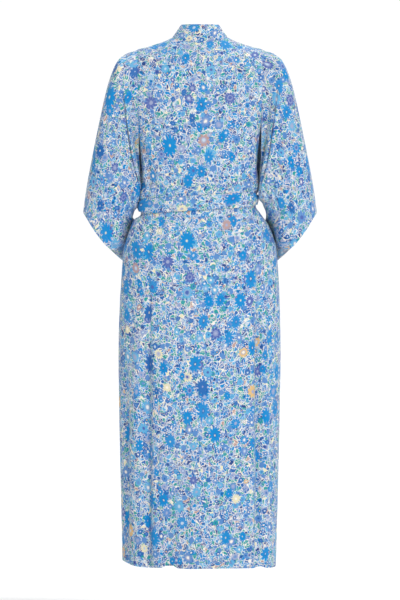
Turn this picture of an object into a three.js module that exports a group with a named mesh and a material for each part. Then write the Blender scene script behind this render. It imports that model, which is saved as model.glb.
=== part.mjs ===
// A long wrap kimono robe in thin printed cloth, worn on an unseen figure: a back, two wrapped
// fronts, two wide three-quarter sleeves, a standing collar band that runs down both front edges,
// and a tie belt, knotted in front.
//
// Units are millimetres. +Z is up, -Y is the wearer's front and +X the wearer's left.
// The origin is the middle of the neck at the height where the shoulders meet it.
import * as THREE from "three";

// ---------------------------------------------------------------- driving dimensions
const WALL = 1.6; // body and sleeve cloth
const BAND_WALL = 2.0; // collar band and belt, which are sewn double
const SEAM = 0.4; // gap where two pieces meet
const LAP = 3.8; // how far the under front lies behind the over front
const BACK = 1;
const FRONT = -1;
const LEFT = 1; // the wearer's left, +X
const RIGHT = -1;

const CHEST_Z = -105; // below this the body hangs straight, above it rounds over the shoulder
const ARMHOLE_Z = -358; // foot of the armhole, just above the belt
const HEM_Z = -1292;
const HEM_BEND_Z = -1200; // above this the rows are level, below it they follow the hem
const NECK_X = 68; // where the collar seam crosses the shoulder
const NECK_BACK_Z = -6; // collar seam at the centre back
const BELT_Z = -399.5;
const BELT_TILT = -0.06; // the belt rides higher on the wearer's right
const BELT_HALF = 18;
const BELT_GAP = 0.6; // between the belt and the cloth it is tied round
const BELT_HALF_AT_SIDE = 12; // the belt crumples narrower at the sides
const SLANT_FULL = 20; // within this of the belt the cloth slants with it
const SLANT_NONE = 41; // and from this on it doesn't

// The outer surface of the body cloth, level by level: half width of the whole form, half width
// where the armhole or side seam cuts it, depth to the back and to the front, how square the
// section is, and how far it is pushed to the wearer's left.
const FORM = [
  { z: 60, width: 206, cut: 154, back: 98, front: 88, power: 2.5, push: 0 },
  { z: CHEST_Z, width: 206, cut: 154, back: 98, front: 88, power: 2.5, push: 0 },
  { z: -150, width: 196, cut: 154, back: 106, front: 104, power: 2.5, push: 0 },
  { z: -200, width: 183, cut: 153.5, back: 109, front: 120, power: 2.5, push: 0 },
  { z: -250, width: 170.5, cut: 152.5, back: 107, front: 128, power: 2.5, push: 0 },
  { z: -300, width: 159.5, cut: 151, back: 101, front: 122, power: 2.5, push: 0 },
  { z: -340, width: 152.5, cut: 149.6, back: 95, front: 111, power: 2.45, push: 0 },
  { z: ARMHOLE_Z, width: 148.6, cut: 148.6, back: 91.5, front: 105, power: 2.4, push: 0 },
  { z: -378, width: 141, cut: 141, back: 87, front: 97.5, power: 2.35, push: 4 },
  { z: -418, width: 141, cut: 141, back: 87, front: 97.5, power: 2.35, push: 4 },
  { z: -430, width: 151, cut: 151, back: 91.5, front: 101, power: 2.35, push: 2.5 },
  { z: -443, width: 162.5, cut: 162.5, back: 98, front: 106, power: 2.35, push: 1 },
  { z: -470, width: 175, cut: 175, back: 108, front: 115, power: 2.4, push: 0 },
  { z: -507, width: 186, cut: 186, back: 121, front: 126, power: 2.4, push: 0 },
  { z: -544, width: 190, cut: 190, back: 129, front: 131, power: 2.4, push: 0 },
  { z: -588, width: 193, cut: 193, back: 133, front: 134, power: 2.4, push: 0 },
  { z: -637, width: 195.5, cut: 195.5, back: 134, front: 135.5, power: 2.4, push: 0.5 },
  { z: -760, width: 198.5, cut: 198.5, back: 133, front: 136, power: 2.4, push: 1 },
  { z: -911, width: 196.8, cut: 196.8, back: 131, front: 136, power: 2.4, push: 1.3 },
  { z: -1068, width: 193.4, cut: 193.4, back: 129, front: 135, power: 2.4, push: 1.3 },
  { z: -1225, width: 189.6, cut: 189.6, back: 127.5, front: 134, power: 2.4, push: 1.8 },
  { z: -1330, width: 187.6, cut: 187.6, back: 127, front: 134, power: 2.4, push: 2.4 },
];

// Height of the shoulder ridge, which the shoulder seams follow.
const RIDGE = [
  { x: 0, z: 16.5 },
  { x: 40, z: 13 },
  { x: NECK_X, z: 6 },
  { x: 83, z: -1.5 },
  { x: 98, z: -7 },
  { x: 113, z: -12 },
  { x: 130, z: -17.5 },
  { x: 154, z: -22.5 },
];

// The largest folds hanging in the cloth: where each is at the hem and how far it has moved
// sideways at its top, where it starts, where it is at its deepest, and where it ends.
const FOLDS = [
  { side: BACK, x: 127, lean: 3, start: -600, full: -860, end: -1400, depth: -10, reach: 19 },
  { side: BACK, x: 155, lean: 0, start: -640, full: -900, end: -1400, depth: 4, reach: 20 },
  { side: BACK, x: 180, lean: 0, start: -760, full: -960, end: -1400, depth: -6, reach: 12 },
  { side: BACK, x: -146, lean: -2, start: -580, full: -840, end: -1400, depth: -9, reach: 17 },
  { side: BACK, x: -172, lean: 0, start: -640, full: -900, end: -1400, depth: 3, reach: 14 },
  { side: BACK, x: 74, lean: 8, start: -1000, full: -1250, end: -1400, depth: -6, reach: 26 },
  { side: BACK, x: -60, lean: -12, start: -700, full: -1150, end: -1400, depth: -4, reach: 40 },
  { side: BACK, x: 10, lean: 4, start: -760, full: -1200, end: -1400, depth: 4, reach: 46 },
  { side: BACK, x: 124, lean: 0, start: -270, full: -345, end: -377, depth: -4, reach: 12 },
  { side: BACK, x: 103, lean: 4, start: -280, full: -350, end: -377, depth: 3, reach: 14 },
  { side: BACK, x: 78, lean: 6, start: -250, full: -345, end: -377, depth: -3, reach: 16 },
  { side: BACK, x: -106, lean: -4, start: -270, full: -350, end: -377, depth: -3.5, reach: 14 },
  { side: BACK, x: -78, lean: -6, start: -270, full: -345, end: -377, depth: 3, reach: 16 },
  { side: BACK, x: 92, lean: 0, start: -421, full: -446, end: -520, depth: -4, reach: 14 },
  { side: BACK, x: -96, lean: 0, start: -421, full: -446, end: -520, depth: -4, reach: 14 },
  { side: FRONT, x: 150, lean: 6, start: -560, full: -860, end: -1400, depth: -9, reach: 20 },
  { side: FRONT, x: 122, lean: 10, start: -640, full: -1000, end: -1400, depth: 4, reach: 22 },
  { side: FRONT, x: -148, lean: -6, start: -560, full: -860, end: -1400, depth: -8, reach: 20 },
  { side: FRONT, x: 40, lean: -20, start: -620, full: -1100, end: -1400, depth: -3, reach: 48 },
  { side: FRONT, x: 118, lean: 8, start: -260, full: -348, end: -377, depth: -3.5, reach: 16 },
  { side: FRONT, x: -116, lean: -8, start: -260, full: -348, end: -377, depth: -3.5, reach: 16 },
  { side: FRONT, x: 104, lean: 0, start: -421, full: -446, end: -530, depth: -4, reach: 16 },
  { side: FRONT, x: -104, lean: 0, start: -421, full: -446, end: -530, depth: -4, reach: 16 },
];

// How far the hem rises above HEM_Z across the back and across the fronts.
const HEM_RISE = {
  [BACK]: [
    { x: -200, rise: 4 },
    { x: -165, rise: 1 },
    { x: -146, rise: 5 },
    { x: -130, rise: 1 },
    { x: -60, rise: 1 },
    { x: 20, rise: 0 },
    { x: 52, rise: 1 },
    { x: 74, rise: 11 },
    { x: 97, rise: 2 },
    { x: 140, rise: 3 },
    { x: 168, rise: 8 },
    { x: 200, rise: 22 },
  ],
  [FRONT]: [
    { x: -200, rise: 4 },
    { x: -130, rise: 1 },
    { x: 0, rise: 0 },
    { x: 130, rise: 2 },
    { x: 168, rise: 8 },
    { x: 200, rise: 22 },
  ],
};

// The seam between the left front and its collar band; the right one is its mirror image.
const FRONT_SEAM = [
  { z: 6, x: NECK_X },
  { z: -15, x: 66.5 },
  { z: -40, x: 64.5 },
  { z: -70, x: 62 },
  { z: CHEST_Z, x: 59 },
  { z: -150, x: 53 },
  { z: -200, x: 43 },
  { z: -250, x: 28 },
  { z: -300, x: 8 },
  { z: -350, x: -14 },
  { z: -400, x: -36 },
  { z: -450, x: -46 },
  { z: -600, x: -52 },
  { z: -900, x: -58 },
  { z: -1330, x: -66 },
];

// The free edge of the band round the neck. Each row faces a point of the neck seam, which is given
// by its x on the back, and on the fronts by its share of the climb to the shoulder.
const NECK_EDGE = [
  { seamX: 0, x: 0, y: 46.5, z: 37.5 },
  { seamX: 13, x: 9.5, y: 45.5, z: 37.5 },
  { seamX: 25, x: 18, y: 42.5, z: 37.5 },
  { seamX: 37, x: 27, y: 38, z: 37.5 },
  { seamX: 48, x: 35, y: 31, z: 37.5 },
  { seamX: 58, x: 41.5, y: 22, z: 37.6 },
  { seamX: NECK_X, x: 46, y: 9, z: 37.6 },
  { climb: 0.985, x: 47, y: -4, z: 37.2 },
  { climb: 0.93, x: 46, y: -20, z: 34.5 },
  { climb: 0.83, x: 41.5, y: -43, z: 22 },
  { climb: 0.68, x: 35, y: -62, z: 0 },
  { climb: 0.48, x: 29, y: -76, z: -30 },
  { climb: 0.24, x: 23, y: -84.5, z: -64 },
];
const BAND_WIDTH = 42;
const BAND_RISE = 10; // at the chest the band's free edge is this much higher than its seam
const BAND_LEVEL_Z = -330; // and from here down they are level

// Rings of a sleeve from the armhole to the cuff: the highest outer point and the lowest inner
// point of each, its half depth, how full it is, where it is deepest, and how far forward it hangs.
const SLEEVE = [
  { s: 0, topX: 154.5, topZ: -22.5, lowX: 149, lowZ: ARMHOLE_Z, depth: 79, full: 2, peak: 0.24, ahead: 0 },
  { s: 0.06, topX: 179, topZ: -33, lowX: 150.2, lowZ: -362, depth: 78, full: 1.6, peak: 0.25, ahead: 0 },
  { s: 0.115, topX: 200, topZ: -50, lowX: 153, lowZ: -371, depth: 85, full: 2.7, peak: 0.27, ahead: 0 },
  { s: 0.2, topX: 214.5, topZ: -78, lowX: 157.5, lowZ: -385, depth: 84, full: 2.7, peak: 0.28, ahead: 1 },
  { s: 0.3, topX: 226.5, topZ: -114, lowX: 161.2, lowZ: -401, depth: 80, full: 2.6, peak: 0.3, ahead: 2 },
  { s: 0.4, topX: 236.5, topZ: -154, lowX: 162.5, lowZ: -418, depth: 77, full: 2.5, peak: 0.32, ahead: 4 },
  { s: 0.5, topX: 246, topZ: -198, lowX: 166.5, lowZ: -438, depth: 74, full: 2.5, peak: 0.35, ahead: 6 },
  { s: 0.6, topX: 255.5, topZ: -243, lowX: 174.5, lowZ: -457, depth: 71, full: 2.4, peak: 0.38, ahead: 8 },
  { s: 0.7, topX: 264.5, topZ: -288, lowX: 183, lowZ: -476, depth: 69, full: 2.4, peak: 0.42, ahead: 10 },
  { s: 0.8, topX: 273, topZ: -332, lowX: 187.5, lowZ: -497, depth: 66, full: 2.4, peak: 0.46, ahead: 11 },
  { s: 0.9, topX: 280.5, topZ: -377, lowX: 189.5, lowZ: -518, depth: 63, full: 2.4, peak: 0.5, ahead: 12 },
  { s: 1, topX: 287, topZ: -424, lowX: 189.5, lowZ: -540, depth: 60, full: 2.4, peak: 0.5, ahead: 13 },
];
const ARMHOLE_BLEND = 0.06; // s where the ring is the sleeve's own and no longer the armhole's
const CUFF_LIFT = 33; // the underarm fold ends this far above the cuff's lowest corner
const CUFF_BOW = 13; // how far the cuff's edge hangs below a straight line

// ---------------------------------------------------------------- small tools
const clamp01 = (t) => Math.min(1, Math.max(0, t));
const mix = (a, b, t) => a + (b - a) * t;
const smooth = (from, to, v) => {
  const t = clamp01((v - from) / (to - from));
  return t * t * (3 - 2 * t);
};
const signedPower = (v, p) => Math.sign(v) * Math.abs(v) ** p;

// A curve through one column of a table, with slopes limited so that it never overshoots.
function curve(table, by, name) {
  const rows = [...table].sort((a, b) => a[by] - b[by]);
  const x = rows.map((row) => row[by]);
  const y = rows.map((row) => row[name]);
  const rise = y.slice(1).map((v, i) => (v - y[i]) / (x[i + 1] - x[i]));
  const slope = y.map((_, i) => {
    if (i === 0 || i === y.length - 1) return rise[Math.min(i, rise.length - 1)];
    const [a, b] = [rise[i - 1], rise[i]];
    return a * b <= 0 ? 0 : (2 * a * b) / (a + b);
  });
  return (v) => {
    const at = Math.min(x[x.length - 1], Math.max(x[0], v));
    let i = 0;
    while (i < x.length - 2 && at > x[i + 1]) i += 1;
    const h = x[i + 1] - x[i];
    const t = (at - x[i]) / h;
    const [t2, t3] = [t * t, t * t * t];
    return (
      y[i] * (2 * t3 - 3 * t2 + 1) +
      slope[i] * h * (t3 - 2 * t2 + t) +
      y[i + 1] * (3 * t2 - 2 * t3) +
      slope[i + 1] * h * (t3 - t2)
    );
  };
}

const columns = (table, by, names) =>
  Object.fromEntries(names.map((name) => [name, curve(table, by, name)]));

const form = columns(FORM, "z", ["width", "cut", "back", "front", "power", "push"]);
const ridgeZ = curve(RIDGE, "x", "z");
const hemRise = {
  [BACK]: curve(HEM_RISE[BACK], "x", "rise"),
  [FRONT]: curve(HEM_RISE[FRONT], "x", "rise"),
};
const seamX = curve(FRONT_SEAM, "z", "x");

// ---------------------------------------------------------------- the body's form
// Places on the body are given by level, which is height but for the waist: the belt ties the
// cloth on a slant, so a level near it falls towards the wearer's left.
const slant = (x, level) =>
  BELT_TILT * x * (1 - smooth(SLANT_FULL, SLANT_NONE, Math.abs(level - BELT_Z)));

const foldDepth = (side, x, z) =>
  FOLDS.filter((fold) => fold.side === side).reduce((sum, fold) => {
    const grown =
      z > fold.full
        ? smooth(fold.start, fold.full, z)
        : 1 - smooth(fold.full, fold.end, z) * (fold.end > HEM_Z ? 1 : 0);
    const centre = fold.x - fold.lean * (1 - grown);
    const off = Math.abs(x - centre) / fold.reach;
    return off < 1 ? sum + fold.depth * grown * Math.cos((off * Math.PI) / 2) ** 2 : sum;
  }, 0);

// The angle on the section at a level whose point has this x.
function angleAt(x, level) {
  const from = x - form.push(level);
  const share = Math.min(1, Math.abs(from) / form.width(level));
  return Math.sign(from) * Math.asin(share ** (form.power(level) / 2));
}

// A point of the form. Angle 0 is the centre back or centre front, and a quarter turn is the side.
// `inset` moves the point towards the wearer, square to the section.
function formPoint(side, angle, level, inset = 0) {
  const power = form.power(level);
  const width = form.width(level);
  const depth = side === BACK ? form.back(level) : form.front(level);
  const x = width * signedPower(Math.sin(angle), 2 / power);
  const across = Math.max(0, Math.cos(angle)) ** (2 / power);
  const climb = level > CHEST_Z ? clamp01((level - CHEST_Z) / (ridgeZ(Math.abs(x)) - CHEST_Z)) : 0;
  const y = Math.max(SEAM / 2, depth * across * Math.sqrt(1 - climb * climb));
  const nx = signedPower(x / width, power - 1) / width;
  const ny = Math.max(0, y / depth) ** (power - 1) / depth;
  const size = Math.hypot(nx, ny) || 1;
  const out = foldDepth(side, x, level) * Math.min(1, across * 2.5) - inset;
  const placedX = x + form.push(level) + (out * nx) / size;
  return new THREE.Vector3(
    placedX,
    side * Math.max(SEAM / 2, y + (out * ny) / size),
    level + slant(placedX, level),
  );
}

// ---------------------------------------------------------------- cloth solids
// A closed solid from a grid of outer points, rows by columns. The wall goes inwards, against the
// grid's normals. `around` closes the grid on itself across the columns. `flat` may change a
// normal, so that two pieces that meet have parallel edges.
function cloth(name, grid, wall, material, { around = false, flip = false, flat } = {}) {
  const rows = grid.length;
  const cols = grid[0].length;
  const at = (r, c) => grid[Math.min(rows - 1, Math.max(0, r))][
    around ? (c + cols) % cols : Math.min(cols - 1, Math.max(0, c))
  ];
  const outer = grid.flat();
  const inner = outer.map((point, i) => {
    const [r, c] = [Math.floor(i / cols), i % cols];
    const down = at(r + 1, c).clone().sub(at(r - 1, c));
    const across = at(r, c + 1).clone().sub(at(r, c - 1));
    const normal = across.cross(down).normalize().multiplyScalar(flip ? -1 : 1);
    if (flat) flat(normal, r, c, point);
    return point.clone().addScaledVector(normal.normalize(), -wall);
  });
  const index = [];
  const shift = outer.length;
  const face = (a, b, c) => (flip ? index.push(a, b, c) : index.push(a, c, b));
  const quad = (a, b, c, d) => {
    face(a, b, c);
    face(a, c, d);
  };
  const wrap = (c) => (around ? c % cols : c);
  for (let r = 0; r < rows - 1; r += 1) {
    for (let c = 0; c < (around ? cols : cols - 1); c += 1) {
      const [a, b] = [r * cols + c, r * cols + wrap(c + 1)];
      const [d, e] = [a + cols, b + cols];
      quad(a, d, e, b);
      quad(shift + a, shift + b, shift + e, shift + d);
    }
  }
  for (let c = 0; c < (around ? cols : cols - 1); c += 1) {
    const last = (rows - 1) * cols;
    quad(c, wrap(c + 1), shift + wrap(c + 1), shift + c);
    quad(last + wrap(c + 1), last + c, shift + last + c, shift + last + wrap(c + 1));
  }
  for (let r = 0; r < rows - 1 && !around; r += 1) {
    const [a, b] = [r * cols, (r + 1) * cols];
    quad(b, a, shift + a, shift + b);
    quad(a + cols - 1, b + cols - 1, shift + b + cols - 1, shift + a + cols - 1);
  }
  return mesh(name, [...outer, ...inner], index, material);
}

function mesh(name, points, index, material) {
  const geometry = new THREE.BufferGeometry();
  geometry.setAttribute(
    "position",
    new THREE.Float32BufferAttribute(points.flatMap((p) => p.toArray()), 3),
  );
  geometry.setIndex(index);
  geometry.computeVertexNormals();
  const made = new THREE.Mesh(geometry, material);
  made.name = name;
  return made;
}

const clothColour = { metalness: 0, side: THREE.FrontSide };
const printed = new THREE.MeshStandardMaterial({ color: "#8ab2d0", roughness: 0.82, ...clothColour });
const banded = new THREE.MeshStandardMaterial({ color: "#86add0", roughness: 0.8, ...clothColour });
const belted = new THREE.MeshStandardMaterial({ color: "#7fa9cf", roughness: 0.78, ...clothColour });

// ---------------------------------------------------------------- back and fronts
// Rows of a panel: shares of the climb to the shoulder, then levels down to the hem.
const CLIMBS = [1, 0.985, 0.93, 0.83, 0.68, 0.48, 0.24];
const LEVELS = [
  CHEST_Z, -140, -180, -225, -265, -300, -325, -343, ARMHOLE_Z, -368, -378, -398, -418, -430, -443,
  -458, -480, -507, -544, -588, -640, -710, -790, -870, -950, -1030, -1110, -1160, HEM_BEND_Z,
];
const HEM_SHARES = [0.45, 0.8, 1];
const NECK_COLUMNS = NECK_EDGE.filter((row) => row.seamX !== undefined).map((row) => row.seamX);
const SHOULDER_ACROSS = [0.4, 0.47, 0.54, 0.61, 0.68, 0.75, 0.82, 0.89, 0.95, 1];
const FRONT_ACROSS = [0, 0.05, 0.11, 0.18, 0.25, 0.32, 0.39, 0.46, 0.54, 0.62, 0.7, 0.78, 0.86, 0.93, 1];

const cutAngle = (z) => Math.asin(Math.min(1, form.cut(z) / form.width(z)) ** (form.power(z) / 2));
const backNeckZ = (x) => mix(NECK_BACK_Z, ridgeZ(NECK_X), (x / NECK_X) ** 2);
const hemZ = (side, x, share) => mix(HEM_BEND_Z, HEM_Z + hemRise[side](x), share);

// Heights of a panel's rows on the column that stands at x. `top` is where the column ends.
const rowHeights = (side, x, hemX, top) => [
  ...CLIMBS.map((climb) => mix(CHEST_Z, top, climb)),
  ...LEVELS,
  ...HEM_SHARES.map((share) => hemZ(side, hemX, share)),
];

// A panel's side edges are cut square to the wearer's side, its shoulder edge upright, and its
// edge at the collar band straight back.
const squareEdges = (sideColumns, bandColumn) => (normal, row, column, point) => {
  const atSide = sideColumns.includes(column) && point.z < ARMHOLE_Z + 1;
  const atShoulder = row === 0 && Math.abs(point.x) > NECK_X - 1;
  if (atSide || atShoulder) normal.y = 0;
  if (column === bandColumn && point.z < CHEST_Z + 1) normal.x = 0;
};

function backPanel() {
  const neckShares = NECK_COLUMNS.map((x) => angleAt(x, 0) / cutAngle(0));
  const half = [...neckShares, ...SHOULDER_ACROSS];
  const across = [...half.slice(1).reverse().map((u) => -u), ...half];
  const topOf = (x) => (Math.abs(x) < NECK_X ? backNeckZ(Math.abs(x)) : ridgeZ(Math.abs(x)));
  const columnsOfPoints = across.map((u) => {
    const shoulderX = formPoint(BACK, u * cutAngle(0), CHEST_Z).x;
    const hemX = formPoint(BACK, u * cutAngle(HEM_Z), HEM_Z).x;
    return rowHeights(BACK, shoulderX, hemX, topOf(shoulderX)).map((z) =>
      formPoint(BACK, u * cutAngle(z), z),
    );
  });
  const grid = columnsOfPoints[0].map((_, r) => columnsOfPoints.map((column) => column[r]));
  return cloth("back", grid, WALL, printed, { flat: squareEdges([0, across.length - 1]) });
}

// How far a point of the right front, which lies under the left one, is set in behind it. It goes
// in just before it meets the over front's edge, and not yet at the neck.
const TUCK = { start: 34, end: 8, neckTop: CHEST_Z + 30, neckFoot: CHEST_Z - 20 };
const overEdgeX = (z) => seamX(Math.min(z, CHEST_Z)) - BAND_WIDTH;
const underInset = (x, z) => {
  const edge = overEdgeX(z);
  const across = smooth(edge - TUCK.start, edge - TUCK.end, x);
  return LAP * across * smooth(TUCK.neckTop, TUCK.neckFoot, z);
};

// The point of the collar seam that has climbed this share of the way to the shoulder ridge.
function seamAtClimb(climb) {
  let [x, z] = [NECK_X, 0];
  for (let i = 0; i < 6; i += 1) {
    z = mix(CHEST_Z, ridgeZ(x), climb);
    x = seamX(z);
  }
  return { x, z };
}

function frontPanel(hand, name) {
  const levels = [...LEVELS, ...HEM_SHARES.map(() => null)];
  const grid = [
    ...CLIMBS.map((climb) =>
      FRONT_ACROSS.map((u) => {
        const x = mix(form.cut(0), seamAtClimb(climb).x + SEAM / 2, u);
        return formPoint(FRONT, hand * angleAt(x, 0), mix(CHEST_Z, ridgeZ(x), climb));
      }),
    ),
    ...levels.map((fixed, r) =>
      FRONT_ACROSS.map((u) => {
        const share = HEM_SHARES[r - LEVELS.length];
        const near = fixed ?? mix(HEM_BEND_Z, HEM_Z, share);
        const from = cutAngle(near);
        const to = angleAt(seamX(near) + SEAM / 2, near);
        const angle = hand * mix(from, to, u);
        const x = formPoint(FRONT, angle, near).x;
        const z = fixed ?? hemZ(FRONT, x, share);
        return formPoint(FRONT, angle, z, hand === RIGHT ? underInset(x, z) : 0);
      }),
    ),
  ];
  return cloth(name, grid, WALL, printed, {
    flip: hand === RIGHT,
    flat: squareEdges([0], FRONT_ACROSS.length - 1),
  });
}

// ---------------------------------------------------------------- sleeves
const ring = columns(SLEEVE, "s", ["topX", "topZ", "lowX", "lowZ", "depth", "full", "peak", "ahead"]);
const RING_STEPS = 24;
const SLEEVE_STEPS = [
  0, 0.03, 0.06, 0.088, 0.115, 0.16, 0.22, 0.3, 0.39, 0.48, 0.58, 0.68, 0.78, 0.88, 0.95, 1,
];

// Half depth of the armhole at share w of the way down it, taken from the body's own edge.
function armholeDepth(side, w) {
  const z = Math.min(ridgeZ(form.cut(0)), mix(ring.topZ(0), ring.lowZ(0), w));
  return Math.abs(formPoint(side, cutAngle(z), z).y);
}

function ringDepth(s, w) {
  const skewed = w ** (Math.log(0.5) / Math.log(ring.peak(s)));
  const full = ring.full(s);
  return ring.depth(s) * Math.max(0, 1 - Math.abs(2 * skewed - 1) ** full) ** (1 / full);
}

// A point of the left sleeve: s runs from the armhole to the cuff and turn once round the ring,
// from the top over the back to the underarm and up the front.
function sleevePoint(s, turn) {
  const w = (1 - Math.cos(turn)) / 2;
  const side = turn <= Math.PI ? BACK : FRONT;
  const own = ringDepth(s, w);
  const depth = mix(armholeDepth(side, w), own, smooth(0, ARMHOLE_BLEND, s));
  const lift = CUFF_LIFT * smooth(side === BACK ? 0.76 : 0.95, 1, w) * smooth(0.86, 1, s);
  const bow = CUFF_BOW * Math.sin(Math.PI * w) * smooth(0.6, 1, s);
  const z = mix(ring.topZ(s), ring.lowZ(s), w) + lift - bow;
  const x = mix(form.cut(z) + SEAM, mix(ring.topX(s), ring.lowX(s), w), smooth(0, ARMHOLE_BLEND, s));
  return new THREE.Vector3(x, (w === 0 || w === 1 ? 0 : side * depth) - ring.ahead(s), z);
}

function sleeve(hand, name) {
  const grid = SLEEVE_STEPS.map((s) =>
    Array.from({ length: RING_STEPS }, (_, i) => {
      const point = sleevePoint(s, (2 * Math.PI * i) / RING_STEPS);
      point.x *= hand;
      return point;
    }),
  );
  const clearOfArmhole = (normal, row) => {
    if (SLEEVE_STEPS[row] <= ARMHOLE_BLEND) normal.x = hand * Math.min(0, row && hand * normal.x);
  };
  return cloth(name, grid, WALL, printed, { around: true, flip: hand === LEFT, flat: clearOfArmhole });
}

// ---------------------------------------------------------------- collar band
const BAND_ACROSS = [0, 0.34, 0.67, 1];

// Stations of the left half of the band, from the centre back to the hem. Each is the seam point
// and, round the neck, the point of the free edge. Below the neck the band lies on the body's form.
function bandStations() {
  const neck = NECK_EDGE.map(({ seamX: backX, climb, x, y, z }) => {
    const seam = climb ? seamAtClimb(climb) : { x: backX, z: backNeckZ(backX) };
    return { side: climb ? FRONT : BACK, ...seam, edge: new THREE.Vector3(x, y, z) };
  });
  const rows = [...LEVELS, HEM_BEND_Z - 45, HEM_Z];
  return [...neck, ...rows.map((z) => ({ side: FRONT, x: seamX(z), z }))];
}

function bandPoint(hand, station, w) {
  const { side, x, z, edge } = station;
  if (edge) {
    const foot = formPoint(side, hand * angleAt(x, 0), z);
    foot.z += side === BACK ? SEAM : 0;
    foot.x -= side === FRONT ? hand * SEAM / 2 : 0;
    return foot.lerp(new THREE.Vector3(hand * edge.x, edge.y, edge.z), w);
  }
  const rise = BAND_RISE * smooth(BAND_LEVEL_Z, CHEST_Z, z);
  const edgeX = x - SEAM / 2 - BAND_WIDTH * w;
  const own = Math.max(z + rise * w, HEM_Z);
  const angle = hand * angleAt(edgeX, own);
  const inset = hand === RIGHT ? underInset(formPoint(FRONT, angle, own).x, own) : 0;
  return formPoint(FRONT, angle, own, inset);
}

function collarBand() {
  const stations = bandStations();
  const rows = [
    ...stations.slice(1).reverse().map((station) => ({ hand: RIGHT, station })),
    ...stations.map((station) => ({ hand: LEFT, station })),
  ];
  const grid = rows.map(({ hand, station }) => BAND_ACROSS.map((w) => bandPoint(hand, station, w)));
  const squareFoot = (normal, row, column, point) => {
    if (column === 0 && point.y > 0) normal.z = 0;
    if (column === 0 && point.z < CHEST_Z + 1) normal.x = 0;
  };
  return cloth("collar", grid, BAND_WALL, banded, { flat: squareFoot });
}

// ---------------------------------------------------------------- belt, knot and tails
const BELT_STEPS = 24; // along each half of the belt
const BELT_ROWS = [1, 0.34, -0.34, -1];
const STANDOFF = { [LEFT]: 9, [RIGHT]: 7 }; // how far the belt stands off the cloth at each side

const SIDE_FROM = 0.86; // sine of the angle where the belt starts to be at the side

const sideShare = (angle) => smooth(SIDE_FROM, 1, Math.abs(Math.sin(angle)));

// A point of the belt's outer face. `up` runs from -1 at its lower edge to 1 at its upper edge.
function beltPoint(side, angle, up) {
  const half = mix(BELT_HALF, BELT_HALF_AT_SIDE, sideShare(angle));
  const off = BELT_GAP + BAND_WALL + STANDOFF[angle >= 0 ? LEFT : RIGHT] * sideShare(angle);
  return formPoint(side, angle, BELT_Z + half * up, -off);
}

function belt() {
  const angles = (count) =>
    Array.from({ length: count }, (_, i) => -Math.PI / 2 + (Math.PI * i) / count);
  const turn = [
    ...angles(BELT_STEPS).map((angle) => ({ side: BACK, angle })),
    ...angles(BELT_STEPS).map((angle) => ({ side: FRONT, angle: -angle })),
  ];
  const grid = BELT_ROWS.map((up) =>
    turn.map(({ side, angle }) => {
      const point = beltPoint(side, angle, up);
      if (Math.abs(Math.cos(angle)) < 0.01) point.y = 0;
      return point;
    }),
  );
  return cloth("belt", grid, BAND_WALL, belted, { around: true });
}

const KNOT = { x: 4, width: 46, height: 44, depth: 24 };

// A soft rounded block: a ball whose sides are flattened, squarer in front view than in plan.
function beltKnot() {
  const ball = new THREE.SphereGeometry(1, 18, 12);
  const place = ball.getAttribute("position");
  const front = beltPoint(FRONT, 0, 0).y;
  for (let i = 0; i < place.count; i += 1) {
    const p = new THREE.Vector3().fromBufferAttribute(place, i);
    const [x, y, z] = [signedPower(p.x, 0.8), signedPower(p.y, 0.9), signedPower(p.z, 0.8)];
    place.setXYZ(
      i,
      KNOT.x + (x * KNOT.width) / 2,
      front - SEAM - KNOT.depth / 2 + (y * KNOT.depth) / 2,
      BELT_Z + (z * KNOT.height) / 2,
    );
  }
  ball.deleteAttribute("normal");
  ball.deleteAttribute("uv");
  const points = [];
  const numbers = new Map();
  const number = Array.from({ length: place.count }, (_, i) => {
    const p = new THREE.Vector3().fromBufferAttribute(place, i);
    const key = p.toArray().map((v) => v.toFixed(3)).join();
    if (!numbers.has(key)) numbers.set(key, points.push(p) - 1);
    return numbers.get(key);
  });
  const index = [];
  for (let i = 0; i < ball.index.count; i += 3) {
    const corners = [0, 1, 2].map((k) => number[ball.index.getX(i + k)]);
    if (new Set(corners).size === 3) index.push(...corners);
  }
  return mesh("belt_knot", points, index, belted);
}

// The belt's hanging ends: where each leaves the knot, how far it swings sideways and its length.
const TAILS = {
  [LEFT]: { name: "belt_end_left", x: 16, lean: 34, length: 350 },
  [RIGHT]: { name: "belt_end_right", x: -9, lean: -24, length: 320 },
};
const TAIL_STEPS = [0, 0.05, 0.1, 0.16, 0.24, 0.34, 0.44, 0.54, 0.64, 0.74, 0.84, 0.92, 1];
const TAIL_HALF = { atKnot: 10.5, open: 17.5 };
const TAIL_OFF = { atKnot: 11, open: 1 }; // how far it stands off the front
const TAIL_OPEN = 0.32; // share of its length where it has opened out and lies on the front
const TAIL_SLANT = 4; // its end is cut this much out of square

function tail(hand) {
  const { name, x, lean, length } = TAILS[hand];
  const topZ = BELT_Z - KNOT.height / 2 - SEAM;
  const grid = TAIL_STEPS.map((v) =>
    [-1, 0, 1].map((edge) => {
      const opened = smooth(0, TAIL_OPEN, v);
      const at = x + lean * v + edge * mix(TAIL_HALF.atKnot, TAIL_HALF.open, opened);
      const z = topZ - length * v - (v === 1 ? edge * TAIL_SLANT * hand : 0);
      const off = mix(TAIL_OFF.atKnot, TAIL_OFF.open, opened) + SEAM + BAND_WALL;
      return new THREE.Vector3(at, formPoint(FRONT, angleAt(at, z), z).y - off, z);
    }),
  );
  return cloth(name, grid, BAND_WALL, belted, { flip: true });
}

// ---------------------------------------------------------------- the robe
const robe = new THREE.Group();
robe.add(
  backPanel(),
  frontPanel(LEFT, "front_left"),
  frontPanel(RIGHT, "front_right"),
  sleeve(LEFT, "sleeve_left"),
  sleeve(RIGHT, "sleeve_right"),
  collarBand(),
  belt(),
  beltKnot(),
  tail(LEFT),
  tail(RIGHT),
);

export default robe;
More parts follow.
